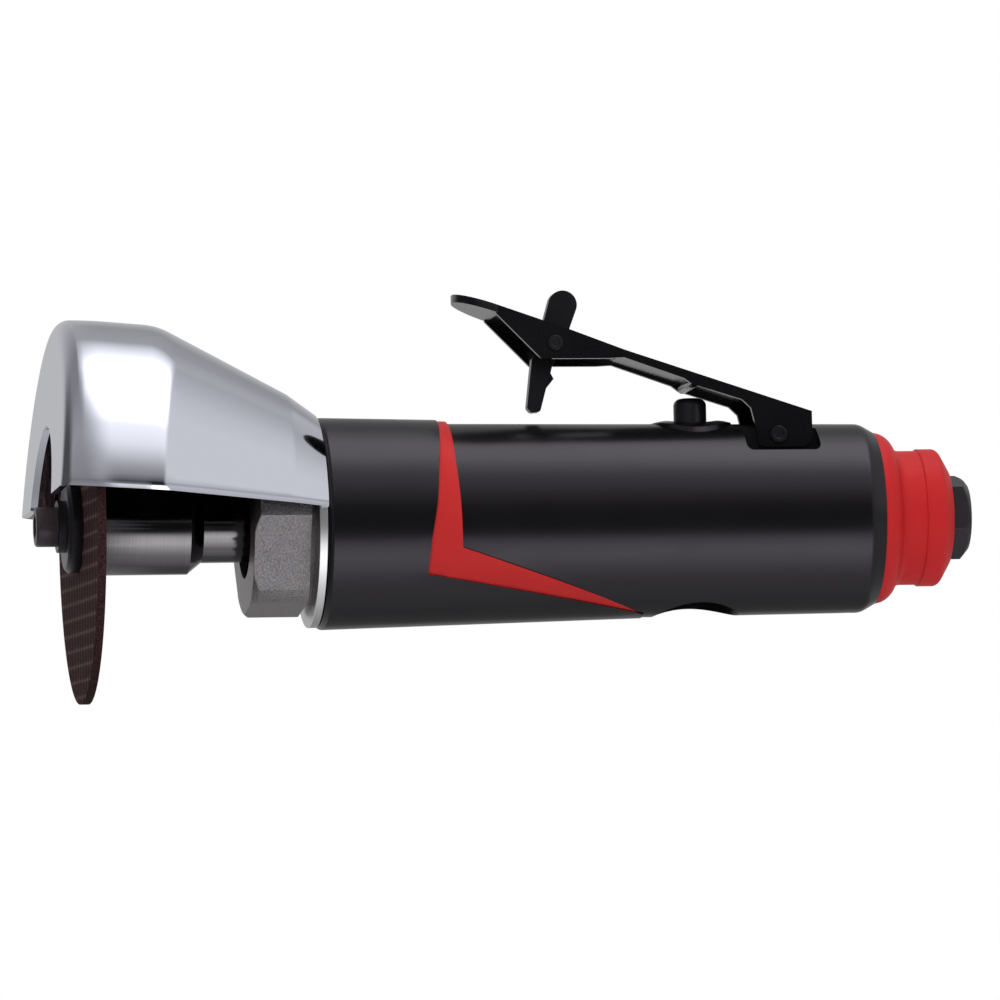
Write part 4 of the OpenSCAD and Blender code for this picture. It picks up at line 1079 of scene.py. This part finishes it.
spring_low, spring_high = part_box("valve_spring")
valve_x = (spring_low.x + spring_high.x) / 2
base, top = spring_low.z + VALVE_WIRE / 2, spring_high.z - VALVE_WIRE / 2


def valve_coil(share):
    """A point of the coil at a share of its height."""
    turn = FULL_TURN * VALVE_TURNS * share
    return Vector((valve_x + VALVE_COIL * math.cos(turn), VALVE_COIL * math.sin(turn),
                   base + (top - base) * share))


helix = [valve_coil(step / VALVE_STEPS) for step in range(VALVE_STEPS + 1)]
valve_spring = new_piece("valve_coil", *wire_tube(helix, VALVE_WIRE / 2),
                         ground_steel, "housing", "bright_steel")
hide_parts("valve_spring")
1 - plunger_travel / (spring_high.z - spring_low.z)
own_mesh(valve_spring)
print("valve spring from", round(base / MM, 2), "to", round(top / MM, 2), "mm")

# %% [markdown]
# The inlet's thread
# An air hose screws into the inlet, so its bore is threaded. The solid has a plain bore of the right
# size. A real thread is one ridge that winds along the bore, so a small flat-topped ridge is swept
# along a helix, and its two ends taper out.

# %% Inlet thread
THREAD_PITCH = 1.41 * MM
THREAD_DEPTH = 0.55 * MM
THREAD_START = 0.8 * MM
THREAD_SPAN = 11.0 * MM
THREAD_SINK = 0.02 * MM
THREAD_EDGE = 0.05 * MM
THREAD_EDGE_DEGREES = 20
ROOT_HALF, CREST_HALF = 0.46 * THREAD_PITCH, 0.05 * THREAD_PITCH
THREAD_RIDGE = (
    (-ROOT_HALF, 0.0), (-CREST_HALF, THREAD_DEPTH),
    (CREST_HALF, THREAD_DEPTH), (ROOT_HALF, 0.0),
)
THREAD_STEPS = 40
THREAD_FADE = 12

inlet_mount = next(mount for mount in frame["record"]["mounts"] if mount["name"] == "air_inlet")
bore_radius = inlet_mount["dims"]["r_mm"] * MM + THREAD_SINK
thread_turns = THREAD_SPAN / THREAD_PITCH
thread_rows = int(thread_turns * THREAD_STEPS)


def thread_row(share):
    """The ridge's corners at a share of its way into the bore."""
    fade = min(1.0, THREAD_FADE * share, THREAD_FADE * (1 - share))
    along = -THREAD_START - THREAD_SPAN * share
    turn = FULL_TURN * thread_turns * share
    return [about_axis(along + offset * fade, bore_radius - depth * fade, turn)
            for offset, depth in THREAD_RIDGE]


thread_points = [point for row in range(thread_rows + 1) for point in thread_row(row / thread_rows)]
thread_faces = grid_faces(thread_rows + 1, len(THREAD_RIDGE))
inlet_thread = new_piece("inlet_thread", thread_points, thread_faces, oxide_black, "housing", "dark_steel")
round_edges(inlet_thread, THREAD_EDGE, degrees=THREAD_EDGE_DEGREES, segments=1)
print("thread turns:", round(thread_turns, 1))
